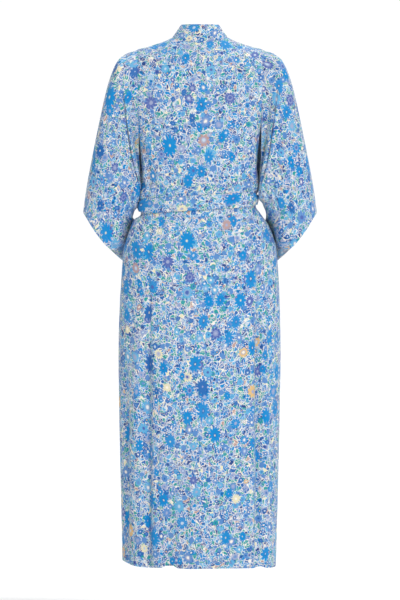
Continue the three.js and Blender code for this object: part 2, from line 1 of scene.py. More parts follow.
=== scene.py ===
"""A long wrap kimono robe in thin printed cotton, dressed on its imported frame.

The pieces are thin shells on the same form as the frame's solids: a back, two wrapped fronts, two
wide sleeves, a standing collar band and a tie belt with its knot and ends. Each is a surface of
two parameters, worked out with numpy in millimetres and put into its mesh in metres.
+Z is up, -Y is the wearer's front and +X the wearer's left.
"""

import math

import bpy
import numpy as np
from bpy.props import FloatProperty, FloatVectorProperty, PointerProperty
from bpy.types import Operator, Panel, PropertyGroup
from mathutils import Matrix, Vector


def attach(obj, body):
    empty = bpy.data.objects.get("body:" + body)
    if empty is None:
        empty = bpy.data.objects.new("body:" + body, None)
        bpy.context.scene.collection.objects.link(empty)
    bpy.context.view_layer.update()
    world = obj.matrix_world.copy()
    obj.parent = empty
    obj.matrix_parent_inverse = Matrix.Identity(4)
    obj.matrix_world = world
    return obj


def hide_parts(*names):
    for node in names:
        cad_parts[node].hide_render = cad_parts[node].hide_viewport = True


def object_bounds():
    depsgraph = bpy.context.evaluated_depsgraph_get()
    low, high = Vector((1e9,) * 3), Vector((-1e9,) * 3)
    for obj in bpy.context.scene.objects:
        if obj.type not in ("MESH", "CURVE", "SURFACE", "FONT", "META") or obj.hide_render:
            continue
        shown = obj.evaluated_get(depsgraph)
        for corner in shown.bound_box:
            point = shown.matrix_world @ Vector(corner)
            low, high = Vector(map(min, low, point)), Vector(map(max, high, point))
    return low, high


bl_info = {
    "name": "Printed kimono robe",
    "version": (1, 0, 0),
    "blender": (4, 5, 0),
    "location": "3D View > Sidebar > Kimono",
    "description": "Sews a printed wrap kimono robe on its packed frame",
    "category": "Add Mesh",
}

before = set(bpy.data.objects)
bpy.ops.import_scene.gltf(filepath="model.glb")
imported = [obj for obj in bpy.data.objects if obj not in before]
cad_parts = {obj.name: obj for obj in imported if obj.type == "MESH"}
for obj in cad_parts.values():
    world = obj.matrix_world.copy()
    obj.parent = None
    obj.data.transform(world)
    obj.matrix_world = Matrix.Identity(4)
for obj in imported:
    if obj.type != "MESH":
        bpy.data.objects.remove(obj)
CAD_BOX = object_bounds()
MM = 0.001

# ---------------------------------------------------------------- the robe's form, in millimetres
SEAM = 0.4  # gap where two pieces meet
LAP = 3.8  # how far the under front lies behind the over front
BACK, FRONT = 1, -1
LEFT, RIGHT = 1, -1  # the wearer's left is +X

CHEST_Z = -105  # below this the body hangs straight, above it rounds over the shoulder
ARMHOLE_Z = -358
HEM_Z = -1292
HEM_BEND_Z = -1200  # above this the rows are level, below it they follow the hem
NECK_X = 68  # where the collar seam crosses the shoulder
NECK_BACK_Z = -6
BELT_Z = -399.5
BELT_TILT = -0.06  # the belt rides higher on the wearer's right
BELT_HALF = 18
BELT_GAP = 0.6
BELT_SOLID_WALL = 2.0
BELT_HALF_AT_SIDE = 12
SLANT_FULL = 20  # within this of the belt the cloth slants with it
SLANT_NONE = 41

FORM_NAMES = ("z", "width", "cut", "back", "front", "power", "push")
FORM_ROWS = (
    (60, 206, 154, 98, 88, 2.5, 0),
    (CHEST_Z, 206, 154, 98, 88, 2.5, 0),
    (-150, 196, 154, 106, 104, 2.5, 0),
    (-200, 183, 153.5, 109, 120, 2.5, 0),
    (-250, 170.5, 152.5, 107, 128, 2.5, 0),
    (-300, 159.5, 151, 101, 122, 2.5, 0),
    (-340, 152.5, 149.6, 95, 111, 2.45, 0),
    (ARMHOLE_Z, 150.6, 150.6, 91.5, 105, 2.4, 0),
    (-378, 147.5, 147.5, 89, 98.5, 2.35, 4.6),
    (-392, 142.5, 142.5, 87.5, 97.5, 2.35, 4.8),
    (-418, 141, 141, 87, 97.5, 2.35, 4),
    (-430, 151, 151, 91.5, 101, 2.35, 2.5),
    (-443, 162.5, 162.5, 98, 106, 2.35, 1),
    (-470, 175, 175, 108, 115, 2.4, 0),
    (-507, 186, 186, 121, 126, 2.4, 0),
    (-544, 190, 190, 129, 131, 2.4, 0),
    (-588, 193, 193, 133, 134, 2.4, 0),
    (-637, 195.5, 195.5, 134, 135.5, 2.4, 0.5),
    (-760, 198.5, 198.5, 133, 136, 2.4, 1),
    (-911, 196.8, 196.8, 131, 136, 2.4, 1.3),
    (-1068, 193.4, 193.4, 129, 135, 2.4, 1.3),
    (-1225, 189.6, 189.6, 127.5, 134, 2.4, 1.8),
    (-1330, 187.6, 187.6, 127, 134, 2.4, 2.4),
)
RIDGE_NAMES = ("x", "z")
RIDGE_ROWS = (
    (0, 16.5), (40, 13), (NECK_X, 6), (83, -1.5), (98, -7), (113, -12), (130, -17.5),
    (154, -22.5),
)

# The largest folds of each side: x at the foot, how far the top has moved sideways, where the fold
# starts, is deepest and ends, its depth, and how far it reaches to both sides.
FOLDS = {
    BACK: (
        (127, 3, -600, -860, -1400, -11.5, 19), (155, 0, -640, -900, -1400, 4, 20),
        (180, 0, -760, -960, -1400, -6, 12), (-146, -2, -540, -820, -1400, -12, 17),
        (-172, 0, -640, -900, -1400, 3, 14), (74, 8, -1000, -1250, -1400, -6, 26),
        (-60, -12, -700, -1150, -1400, -4, 40), (10, 4, -760, -1200, -1400, 4, 46),
        (152, 0, -120, -320, -385, -8, 17), (-153, 0, -110, -310, -385, -13, 20),
        (124, 0, -270, -345, -377, -4, 12), (103, 4, -280, -350, -377, 3, 14),
        (78, 6, -250, -345, -377, -3, 16), (-106, -4, -270, -350, -377, -3.5, 14),
        (-78, -6, -270, -345, -377, 3, 16), (92, 0, -421, -446, -520, -4, 14),
        (-96, 0, -421, -446, -520, -4, 14),
    ),
    FRONT: (
        (150, 6, -560, -860, -1400, -9, 20), (122, 10, -640, -1000, -1400, 4, 22),
        (-148, -6, -560, -860, -1400, -8, 20), (40, -20, -620, -1100, -1400, -3, 48),
        (118, 8, -260, -348, -377, -3.5, 16), (-116, -8, -260, -348, -377, -3.5, 16),
        (104, 0, -421, -446, -530, -4, 16), (-104, 0, -421, -446, -530, -4, 16),
    ),
}
HEM_RISE_NAMES = ("x", "rise")
HEM_RISE_ROWS = {
    BACK: (
        (-200, 4), (-165, 1), (-146, 5), (-130, 1), (-60, 1), (20, 0), (52, 1), (74, 11), (97, 2),
        (140, 3), (168, 8), (200, 22),
    ),
    FRONT: ((-200, 4), (-130, 1), (0, 0), (130, 2), (168, 8), (200, 22)),
}
FRONT_SEAM_NAMES = ("z", "x")
FRONT_SEAM_ROWS = (
    (6, NECK_X), (-15, 66.5), (-40, 64.5), (-70, 62), (CHEST_Z, 59), (-150, 53), (-200, 43),
    (-250, 28), (-300, 8), (-350, -14), (-400, -36), (-450, -46), (-600, -52), (-900, -58),
    (-1330, -66),
)

# The band's free edge round the neck. Each row faces a point of the neck seam, which is given by
# its x on the back, and on the fronts by its share of the climb to the shoulder.
NECK_EDGE_BACK = (
    (0, 0, 46.5, 37.5), (13, 9.5, 45.5, 37.5), (25, 18, 42.5, 37.5), (37, 27, 38, 37.5),
    (48, 35, 31, 37.5), (58, 41.5, 22, 37.6), (NECK_X, 46, 9, 37.6),
)
NECK_EDGE_FRONT = (
    (0.985, 47, -4, 37.2), (0.93, 46, -20, 34.5), (0.83, 41.5, -43, 22), (0.68, 35, -62, 0),
    (0.48, 29, -76, -30), (0.24, 23, -84.5, -64),
)
BAND_WIDTH = 42
BAND_RISE = 10
BAND_LEVEL_Z = -330

SLEEVE_NAMES = ("s", "top_x", "top_z", "low_x", "low_z", "depth", "full", "peak", "ahead")
SLEEVE_ROWS = (
    (0, 154.5, -22.5, 149, ARMHOLE_Z, 79, 2, 0.24, 0),
    (0.06, 179, -33, 150, -362, 78, 1.6, 0.25, 0),
    (0.115, 200, -50, 151, -371, 85, 2.7, 0.27, 0),
    (0.2, 214.5, -78, 150, -385, 84, 2.7, 0.28, 1),
    (0.3, 226.5, -114, 153, -401, 80, 2.6, 0.3, 2),
    (0.4, 236.5, -154, 160, -418, 77, 2.5, 0.32, 4),
    (0.5, 246, -198, 166.5, -438, 74, 2.5, 0.35, 6),
    (0.6, 255.5, -243, 174.5, -457, 71, 2.4, 0.38, 8),
    (0.7, 264.5, -288, 183, -476, 69, 2.4, 0.42, 10),
    (0.8, 273, -332, 187.5, -497, 66, 2.4, 0.46, 11),
    (0.9, 280.5, -377, 189.5, -518, 63, 2.4, 0.5, 12),
    (1, 287, -424, 189.5, -540, 60, 2.4, 0.5, 13),
)
ARMHOLE_BLEND = 0.06  # a sleeve has its own section from this share of its length on
CUFF_LIFT = 40  # how far the cuff's inner end is lifted
CUFF_BOW = 13  # how far the cuff's edge bows down between its two folds
CUFF_DROP = 10  # how far the front half of the cuff hangs lower near its inner end
CUFF_LIFT_START, CUFF_BOW_START, CUFF_DROP_START = 0.82, 0.6, 0.86  # shares along the sleeve
CUFF_LIFT_FROM = {BACK: 0.68, FRONT: 0.95}  # share down the cuff where the lift starts
CUFF_CORNER_FROM, CUFF_CORNER = 0.6, 0.95  # and where the drop starts and is deepest
TUCK_START, TUCK_END = 34, 8  # the under front goes in over this stretch before the over one's edge
TUCK_TOP, TUCK_FOOT = CHEST_Z + 30, CHEST_Z - 20
STANDOFF = {LEFT: 4.5, RIGHT: 3.2}  # how far the belt stands off the cloth at each side
SIDE_FROM = 0.86  # sine of the angle on the section where the belt's side starts
FOLD_CALM = 2.5  # folds fade out over the last part of the section before the side seam
CREASE_WANDER = 0.16  # how far a crease leaves its straight line, in shares of its reach
CREASE_GROWS, CREASE_FADES = (-0.04, 0.3), (0.7, 1.04)  # shares of its length
WAVE_DEPTH = 0.42  # of the slow unevenness of the body cloth
BELT_CALM = (22, 34)  # the cloth is calm nearer to the belt than this, and free further off
SHOULDER_CALM = (CHEST_Z + 20, -20)
SEAM_STEPS = 6  # steps that find a point of the collar seam
FRONT_MOST = 0.3  # how far the relief of the fronts may stand out

# ---------------------------------------------------------------- laid-in creases
# Soft troughs (depth below 0) and ridges on each side of the body: x and z where each starts and
# ends, depth and reach. They lie on the panels and on the collar band.
CREASES = {
    BACK: (
        (140, -120, 96, -214, -2.2, 12), (146, -176, 108, -262, -2.0, 11),
        (150, -232, 122, -318, -2.4, 10), (-142, -134, -100, -226, -2.1, 12),
        (-148, -190, -112, -290, -2.3, 11), (-150, -262, -128, -330, -1.8, 9),
        (34, -36, 92, -62, -1.3, 11), (-30, -38, -86, -58, -1.4, 11),
        (20, -70, 24, -190, -0.9, 22), (-46, -130, -40, -270, -1.0, 20),
        (62, -230, 54, -372, -1.9, 9), (44, -300, 40, -374, -1.7, 7),
        (28, -280, 26, -373, 1.3, 8), (12, -312, 12, -374, -1.4, 7),
        (-8, -296, -7, -373, -1.5, 8), (-26, -318, -25, -374, 1.2, 7),
        (-46, -280, -44, -374, -1.8, 8), (-62, -306, -60, -374, -1.5, 7),
        (136, -250, 130, -372, -2.4, 7), (142, -338, 133, -379, -5.0, 7),
        (128, -322, 123, -378, -5.2, 7), (136, -330, 128, -378, 2.6, 6),
        (112, -316, 109, -377, -4.0, 7), (-112, -316, -108, -377, -3.8, 7),
        (-132, -300, -126, -378, -4.6, 7), (92, -300, 90, -373, -2.0, 6),
        (-128, -286, -124, -372, -2.0, 7), (66, -424, 70, -540, -1.9, 10),
        (44, -424, 44, -500, 1.3, 9), (24, -425, 22, -560, -1.7, 10),
        (-4, -425, -6, -510, -1.4, 9), (-30, -424, -34, -570, -1.9, 11),
        (-54, -424, -58, -508, 1.2, 9), (-74, -425, -80, -590, -2.0, 11),
        (120, -428, 128, -560, -2.2, 10), (-124, -428, -134, -560, -2.2, 10),
        (124, -500, 129, -900, -4.4, 9), (129, -800, 126, -1310, -5.0, 9),
        (178, -800, 180, -1300, -3.4, 9), (152, -640, 156, -1040, 1.6, 12),
        (-144, -470, -148, -900, -6.0, 9), (-148, -780, -147, -1310, -6.4, 9),
        (-160, -600, -163, -1310, 1.8, 9), (-172, -700, -176, -1200, -2.4, 8),
        (90, -560, 98, -860, -2.0, 18), (48, -620, 54, -960, -1.2, 22),
        (-16, -640, -22, -1010, -1.3, 24), (-96, -600, -104, -930, -1.6, 18),
        (104, -900, 100, -1260, -1.9, 13), (30, -1010, 34, -1292, -1.7, 15),
        (-34, -1060, -38, -1292, -1.6, 15), (-112, -960, -110, -1292, -2.1, 12),
        (166, -560, 170, -820, -2.2, 10), (-166, -560, -172, -800, -2.0, 10),
    ),
    FRONT: (
        (138, -130, 100, -230, -2.0, 12), (144, -210, 112, -310, -2.2, 11),
        (-138, -120, -98, -216, -2.1, 12), (-146, -200, -114, -306, -2.2, 11),
        (84, -60, 78, -210, -1.2, 18), (-84, -70, -78, -230, -1.2, 18),
        (96, -260, 80, -372, -2.0, 10), (66, -280, 50, -373, -1.8, 9),
        (40, -310, 30, -373, -1.6, 8), (-90, -270, -84, -372, -2.0, 10),
        (-66, -300, -62, -373, -1.7, 8), (84, -425, 92, -560, -1.9, 11),
        (124, -428, 132, -580, -2.1, 10), (-78, -425, -84, -570, -1.9, 11),
        (-124, -428, -132, -580, -2.1, 10), (96, -580, 104, -940, -1.6, 18),
        (20, -840, 24, -1292, -1.4, 24), (-20, -860, -28, -1292, -1.3, 22),
        (84, -940, 84, -1292, -1.9, 14), (-104, -620, -112, -1000, -1.6, 18),
        (-100, -1000, -98, -1292, -1.9, 14), (-170, -640, -172, -960, -1.9, 10),
        (170, -640, 172, -960, -1.9, 10),
    ),
}
# The same for a sleeve, by its own two shares: share along and share down where each starts and
# ends, depth and reach.
SLEEVE_CREASES = {
    BACK: (
        (0.11, 0.16, 0.15, 0.68, -8.0, 8), (0.135, 0.50, 0.24, 1.02, -11.0, 9),
        (0.19, 0.44, 0.27, 0.94, 2.4, 9), (0.08, 0.12, 0.34, 0.16, -2.4, 12),
        (0.07, 0.26, 0.52, 0.40, -2.8, 14), (0.07, 0.44, 0.62, 0.66, -2.6, 13),
        (0.10, 0.62, 0.70, 0.84, -3.0, 12), (0.16, 0.80, 0.78, 0.95, -2.4, 10),
        (0.34, 0.10, 0.86, 0.26, -1.8, 14), (0.46, 0.30, 0.97, 0.46, -1.9, 15),
        (0.56, 0.56, 0.99, 0.70, -2.2, 13), (0.22, 0.34, 0.50, 0.30, 1.6, 14),
        (0.36, 0.54, 0.72, 0.60, 1.7, 13), (0.72, 0.12, 0.99, 0.18, -1.5, 10),
    ),
    FRONT: (
        (0.08, 0.16, 0.40, 0.24, -2.4, 13), (0.07, 0.36, 0.56, 0.52, -2.8, 14),
        (0.08, 0.58, 0.66, 0.78, -2.8, 13), (0.30, 0.12, 0.84, 0.30, -1.9, 14),
        (0.48, 0.40, 0.97, 0.56, -2.0, 14), (0.60, 0.66, 0.98, 0.84, -2.2, 12),
    ),
}
SLEEVE_LENGTH, SLEEVE_DROP = 430, 270  # turn a sleeve's two shares into millimetres
SLEEVE_AXIS = np.array([-0.227, 0.0, 0.974])  # up along the straight part of the outer fold

# ---------------------------------------------------------------- small tools


def smooth(start, end, value):
    """0 before start and 1 past end, with a soft S between them."""
    t = np.clip((value - start) / (end - start), 0, 1)
    return t * t * (3 - 2 * t)


def mix(a, b, t):
    """The value t of the way from a to b."""
    return a + (b - a) * t


def signed_power(value, power):
    """The power of the value's size, with its sign kept."""
    return np.sign(value) * np.abs(value) ** power


def bell(off, reach):
    """1 at no distance, and falling off as a bell over the reach."""
    return np.exp(-((off / reach) ** 2))


def hump(off, reach):
    """1 at no distance and 0 past the reach, with the square of a cosine between them."""
    return np.cos(np.clip(np.abs(off) / reach, 0, 1) * math.pi / 2) ** 2


def smooth_through(x, y, at):
    """A smooth curve through the points (x, y), read at `at`. Its slope at a point is the harmonic
    mean of the slopes to both sides, and none at a turn, so it never overshoots."""
    step = np.diff(x)
    rise = np.diff(y, axis=0) / step.reshape((-1,) + (1,) * (y.ndim - 1))
    before, after = rise[:-1], rise[1:]
    agree = before * after > 0
    middle = np.where(agree, 2 * before * after / np.where(agree, before + after, 1), 0)
    slope = np.concatenate([rise[:1], middle, rise[-1:]])
    at = np.clip(at, x[0], x[-1])
    i = np.clip(np.searchsorted(x, at) - 1, 0, len(x) - 2)
    h = step[i].reshape(at.shape + (1,) * (y.ndim - 1))
    t = ((at - x[i]) / step[i]).reshape(h.shape)
    return (
        y[i] * (2 * t**3 - 3 * t**2 + 1)
        + slope[i] * h * (t**3 - 2 * t**2 + t)
        + y[i + 1] * (3 * t**2 - 2 * t**3)
        + slope[i + 1] * h * (t**3 - t**2)
    )


def curves(names, rows):
    """A smooth function of a table's first column for each other column."""
    table = np.array(sorted(rows), float)

    def of(column):
        return lambda at: smooth_through(table[:, 0], table[:, column], np.asarray(at, float))

    return {name: of(i) for i, name in enumerate(names) if i}


FORM = curves(FORM_NAMES, FORM_ROWS)
RIDGE = curves(RIDGE_NAMES, RIDGE_ROWS)["z"]
HEM_RISE = {side: curves(HEM_RISE_NAMES, rows)["rise"] for side, rows in HEM_RISE_ROWS.items()}
SEAM_X = curves(FRONT_SEAM_NAMES, FRONT_SEAM_ROWS)["x"]
RING = curves(SLEEVE_NAMES, SLEEVE_ROWS)


def crease_sum(table, across, along):
    """Sum of the creases (start, end, depth, reach) at places in the plane: each is a rounded
    trough square to its own line, and it fades out over the last third at both ends."""
    lines = np.array(table, float).reshape((-1, 6) + (1,) * np.ndim(across))
    x0, z0, x1, z1, depth, reach = (lines[:, i] for i in range(6))
    run_x, run_z = x1 - x0, z1 - z0
    length = np.hypot(run_x, run_z)
    share = ((across - x0) * run_x + (along - z0) * run_z) / length**2
    off = ((across - x0) * run_z - (along - z0) * run_x) / length
    bend = CREASE_WANDER * reach * np.sin(3 * math.pi * share)
    ends = smooth(*CREASE_GROWS, share) * (1 - smooth(*CREASE_FADES, share))
    return np.sum(depth * hump(off + bend, reach) * ends, axis=0)


def unevenness(side, x, z):
    """Three crossing waves whose lengths, in millimetres, never fall in step."""
    return (
        np.sin(x / 23 + z / 71 + 0.6 * side) * np.sin(z / 47 - x / 91)
        + np.sin(x / 37 - z / 118 + 2.1 * side)
        + 0.6 * np.sin(x / 14 + 1.3 * np.sin(z / 83) + side)
    )


def relief(side, x, z, strength):
    """Fine relief of the body cloth: the laid-in creases and a slow unevenness, both calm
    under the belt. The fronts hardly stand out, to stay clear of the belt's ends."""
    total = crease_sum(CREASES[side], x, z) + WAVE_DEPTH * unevenness(side, x, z)
    calm = smooth(*BELT_CALM, np.abs(z - BELT_Z)) * (1 - smooth(*SHOULDER_CALM, z))
    total = total * calm * strength
    return total if side == BACK else np.minimum(total, FRONT_MOST)


def fold_depth(side, x, z):
    """Sum of the largest folds, which grow downwards from their start to their full depth. Those
    that end above the hem fade out again."""
    total = np.zeros(np.broadcast(x, z).shape)
    for at, lean, start, full, end, depth, reach in FOLDS[side]:
        fades = end > HEM_Z
        grown = np.where(z > full, smooth(start, full, z), 1 - smooth(full, end, z) * fades)
        centre = at - lean * (1 - grown)
        total = total + depth * grown * hump(x - centre, reach)
    return total


def slant(x, level):
    """How far the belt's slant lowers a place near the waist."""
    return BELT_TILT * x * (1 - smooth(SLANT_FULL, SLANT_NONE, np.abs(level - BELT_Z)))


def angle_at(x, level):
    """The angle on the section at a level whose point has this x."""
    off = x - FORM["push"](level)
    share = np.minimum(1, np.abs(off) / FORM["width"](level))
    return np.sign(off) * np.arcsin(share ** (FORM["power"](level) / 2))


def form_point(side, angle, level, inset=0.0, strength=0.0):
    """A point of the body's form. The section is a superellipse, whose angle is 0 at the middle of
    the back or front and a quarter turn at the side. Above the chest it closes over the shoulder
    as a quarter ellipse. Folds and creases move the point along the section's normal, and inset
    moves it in."""
    angle, level = np.broadcast_arrays(np.asarray(angle, float), np.asarray(level, float))
    power, width = FORM["power"](level), FORM["width"](level)
    depth = FORM["back"](level) if side == BACK else FORM["front"](level)
    x = width * signed_power(np.sin(angle), 2 / power)
    across = np.maximum(0, np.cos(angle)) ** (2 / power)
    climb = np.clip((level - CHEST_Z) / (RIDGE(np.abs(x)) - CHEST_Z), 0, 1) * (level > CHEST_Z)
    y = np.maximum(SEAM / 2, depth * across * np.sqrt(1 - climb * climb))
    nx = signed_power(x / width, power - 1) / width
    ny = np.maximum(0, y / depth) ** (power - 1) / depth
    size = np.hypot(nx, ny)
    depth_in = fold_depth(side, x, level)
    if strength:
        depth_in = depth_in + relief(side, x, level, strength)
    out = depth_in * np.minimum(1, across * FOLD_CALM) - inset
    placed = x + FORM["push"](level) + out * nx / size
    deep = side * np.maximum(SEAM / 2, y + out * ny / size)
    return np.stack([placed, deep, level + slant(placed, level)], axis=-1)


def cut_angle(z):
    """The angle where the armhole or the side seam cuts the section."""
    share = np.minimum(1, FORM["cut"](z) / FORM["width"](z))
    return np.arcsin(share ** (FORM["power"](z) / 2))


def hem_level(side, x, share):
    """The level of a row near the hem: share 0 is straight and share 1 is the hem itself."""
    return mix(HEM_BEND_Z, HEM_Z + HEM_RISE[side](x), share)


def under_inset(x, z):
    """How far the right front is set in behind the left one."""
    edge = SEAM_X(np.minimum(z, CHEST_Z)) - BAND_WIDTH
    return LAP * smooth(edge - TUCK_START, edge - TUCK_END, x) * smooth(TUCK_TOP, TUCK_FOOT, z)


def seam_at_climb(climb):
    """The point of the collar seam at this share of the climb to the shoulder, found in steps."""
    x = np.full(np.shape(climb), float(NECK_X))
    z = np.zeros(np.shape(climb))
    for _ in range(SEAM_STEPS):
        z = mix(CHEST_Z, RIDGE(x), climb)
        x = SEAM_X(z)
    return x, z


# ---------------------------------------------------------------- grids into meshes
EDGE_STEPS = (0, 0.9, 2.0, 3.6)  # closer rows next to an edge, in millimetres from it
ROLL_REACH = 2.4  # an edge's roll falls off over this
OUTER, INNER, THREAD = 0, 1, 2  # places of a piece's materials
SEWN_EDGES = ("first_row", "last_row", "first_column", "last_column")
TURN_CLEAR, TURN_WALL = (1.25, 0.15), 0.8  # a turned-up hem: walls and millimetres in, and its wall
STITCH_WIDTH = 0.5
STITCH_FORM = ((0, 0.5, -0.1), (0.5, 1.0, 0.16), (1.0, 0.5, -0.1))  # share along, width, height
STITCH_RING = ((-1, 0), (0, 1), (1, 0), (0, -1))
STITCH_FLAT = 0.8
SHARP_ANGLE = 55


def steps_between(length, cell, start_edge=True, end_edge=True):
    """Distances from 0 to length about a cell apart, closer at the edges that are rolled in."""
    head = list(EDGE_STEPS) if start_edge else [0]
    tail = [length - step for step in reversed(EDGE_STEPS)] if end_edge else [length]
    count = max(2, round((tail[0] - head[-1]) / cell))
    inner = np.linspace(head[-1], tail[0], count + 1)[1:-1]
    return np.concatenate([head, inner, tail])


def run_lengths(grid, axis):
    """Distances along a grid's rows or columns, from its first point."""
    steps = np.linalg.norm(np.diff(grid, axis=axis), axis=-1)
    start = np.zeros_like(np.take(steps, [0], axis=axis))
    return np.concatenate([start, np.cumsum(steps, axis=axis)], axis=axis)


def nearest(values, value):
    """The place in a list of the value that is nearest to this one."""
    return int(np.argmin(np.abs(values - value)))


def closed(grid):
    """A grid round a ring, with its first column once more at its end."""
    return np.concatenate([grid, grid[:, :1]], axis=1)


def run_uv(grid, axes, shift):
    """Places on the flat cloth: the distances along both axes of the grid, and a shift."""
    return np.stack([run_lengths(grid, axis) for axis in axes], axis=-1) + np.array(shift, float)


def grid_normals(grid, around, outward):
    """Unit normals of a grid, from its neighbours' differences, turned to the side that `outward`
    points to."""
    if around:
        across = np.roll(grid, -1, 1) - np.roll(grid, 1, 1)
    else:
        across = np.gradient(grid, axis=1)
    normal = np.cross(across, np.gradient(grid, axis=0))
    normal /= np.maximum(np.linalg.norm(normal, axis=-1, keepdims=True), 1e-9)
    turned = np.sum(normal * outward) < 0
    return (-normal, True) if turned else (normal, False)


def edge_roll(grid, edges, roll):
    """How far each point is rolled in: the roll at the named edges of the grid, falling off as a
    bell over a few millimetres."""
    total = np.zeros(grid.shape[:2])
    down, along = run_lengths(grid, 0), run_lengths(grid, 1)
    distance = {
        "first_row": down,
        "last_row": down[-1:] - down,
        "first_column": along,
        "last_column": along[:, -1:] - along,
    }
    for edge in edges:
        total = np.maximum(total, bell(distance[edge], ROLL_REACH))
    return roll * total


def shell(grid, uv, wall, outward, around=False, faces=(OUTER, INNER)):
    """A closed cloth wall: the grid is its outer face, the inner face lies a wall's thickness in
    along the normals, and strips close the open edges."""
    rows, cols = grid.shape[:2]
    normal, turned = grid_normals(grid, around, outward)
    count = rows * cols
    points = np.concatenate([grid.reshape(-1, 3), (grid - normal * wall).reshape(-1, 3)])
    number = np.arange(count).reshape(rows, cols)
    if around:
        number = np.concatenate([number, number[:, :1]], axis=1)
    a, b, c, d = number[:-1, :-1], number[1:, :-1], number[1:, 1:], number[:-1, 1:]
    outer = np.stack([a, b, c, d], axis=-1).reshape(-1, 4)
    at = np.stack([uv[:-1, :-1], uv[1:, :-1], uv[1:, 1:], uv[:-1, 1:]], axis=2).reshape(-1, 4, 2)
    quads, places, kinds = [outer, outer[:, ::-1] + count], [at, at[:, ::-1]], list(faces)
    strips = [(number[0], uv[0], False), (number[-1], uv[-1], True)]
    if not around:
        strips += [(number[:, 0], uv[:, 0], True), (number[:, -1], uv[:, -1], False)]
    for line, line_uv, reverse in strips:
        p, q = line[:-1], line[1:]
        strip = np.stack([p, q, q + count, p + count], axis=-1)
        strip_uv = np.stack([line_uv[:-1], line_uv[1:], line_uv[1:], line_uv[:-1]], axis=1)
        quads.append(strip[:, ::-1] if reverse else strip)
        places.append(strip_uv[:, ::-1] if reverse else strip_uv)
        kinds.append(faces[0])
    kinds = np.concatenate([np.full(len(q), k) for q, k in zip(quads, kinds)])
    quads, places = np.concatenate(quads), np.concatenate(places)
    if not turned:
        quads, places = quads[:, ::-1], places[:, ::-1]
    return points, quads, places, kinds


def stitches(path, normal, sizes):
    """A row of stitches along a path: each is a short thread with a low rounded middle and ends
    that go into the cloth, worked out for all of them at once."""
    length, gap = sizes.stitch_length / MM, sizes.stitch_gap / MM
    steps = np.linalg.norm(np.diff(path, axis=0), axis=-1)
    run = np.concatenate([[0], np.cumsum(steps)])
    count = int(run[-1] // (length + gap))
    middle = (np.arange(count) + 0.5) * run[-1] / count

    def read(values, at):
        return np.stack([np.interp(at, run, values[:, i]) for i in range(3)], axis=-1)

    start, end = read(path, middle - length / 2), read(path, middle + length / 2)
    up = read(normal, middle)
    up /= np.linalg.norm(up, axis=-1, keepdims=True)
    ahead = (end - start) / np.linalg.norm(end - start, axis=-1, keepdims=True)
    side = np.cross(up, ahead)
    share, wide, high = np.array(STITCH_FORM, float).T
    centre = start[:, None] + (end - start)[:, None] * share[None, :, None]
    centre = centre + up[:, None] * high[None, :, None]
    off = np.array(STITCH_RING, float) * wide[None, :, None, None] * STITCH_WIDTH / 2
    points = (
        centre[:, :, None]
        + side[:, None, None] * off[..., :1]
        + up[:, None, None] * off[..., 1:] * STITCH_FLAT
    )
    number = np.arange(count * 12).reshape(count, 3, 4)
    following = np.roll(number, -1, 2)
    walls = np.stack([number[:, :-1], following[:, :-1], following[:, 1:], number[:, 1:]], axis=-1)
    caps = np.stack([number[:, 0, ::-1], number[:, 2]], axis=1)
    quads = np.concatenate([walls.reshape(-1, 4), caps.reshape(-1, 4)])[:, ::-1]
    square = np.array([(0, 0), (1, 0), (1, 1), (0, 1)])
    places = np.zeros((len(quads), 4, 2)) + square * STITCH_WIDTH
    return points.reshape(-1, 3), quads, places, np.full(len(quads), THREAD)


def hemmed(grid, uv, wall, outward, stitched, shift, sizes, around=False):
    """A hemmed piece's parts: its wall, its last rows once more as the cloth turned up inside, and
    a row of stitches. The turned-up cloth shows another part of the print, by the shift."""
    normal, _ = grid_normals(grid, around, outward)
    rows = slice(stitched - 1, None)
    strip = grid[rows] - normal[rows] * (TURN_CLEAR[0] * wall + TURN_CLEAR[1])
    sewn = slice(None) if around else slice(1, -1)
    return [
        shell(grid, uv, wall, outward, around),
        shell(strip, uv[rows] + np.array(shift), wall * TURN_WALL, outward[rows], around),
        stitches(grid[stitched, sewn], normal[stitched, sewn], sizes),
    ]


def doubled(grid, uv, outward, sizes, sewn, around=False):
    """A doubled band's parts: its wall, and stitches along the lines of the grid in `sewn`."""
    normal, _ = grid_normals(grid, around, outward)
    wall = shell(grid, uv, sizes.band_wall / MM, outward, around, (OUTER, OUTER))
    return [wall] + [stitches(grid[line], normal[line], sizes) for line in sewn]


def piece(name, parts, materials, nodes):
    """Puts parts, each (points, quads, uv, kinds) in millimetres, into one mesh in metres, which
    rides on the robe's body and stands for its frame nodes."""
    shift = np.cumsum([0] + [len(part[0]) for part in parts])
    points = np.concatenate([part[0] for part in parts]) * MM
    quads = np.concatenate([part[1] + start for part, start in zip(parts, shift)])
    places = np.concatenate([part[2] for part in parts]) * MM
    kinds = np.concatenate([part[3] for part in parts])
    mesh = bpy.data.meshes.new(name)
    mesh.vertices.add(len(points))
    mesh.vertices.foreach_set("co", points.astype(np.float32).ravel())
    mesh.loops.add(quads.size)
    mesh.loops.foreach_set("vertex_index", quads.astype(np.int32).ravel())
    mesh.polygons.add(len(quads))
    mesh.polygons.foreach_set("loop_start", np.arange(0, quads.size, 4, dtype=np.int32))
    mesh.polygons.foreach_set("material_index", kinds.astype(np.int32))
    layer = mesh.uv_layers.new(name="cloth")
    layer.uv.foreach_set("vector", places.astype(np.float32).ravel())
    mesh.update(calc_edges=True)
    if mesh.validate():
        raise RuntimeError(f"{name} has broken faces")
    mesh.shade_smooth()
    mesh.set_sharp_from_angle(angle=math.radians(SHARP_ANGLE))
    for material in materials:
        mesh.materials.append(material)
    made = bpy.data.objects.new(name, mesh)
    bpy.context.scene.collection.objects.link(made)
    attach(made, "root")
    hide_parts(*nodes)
    return made


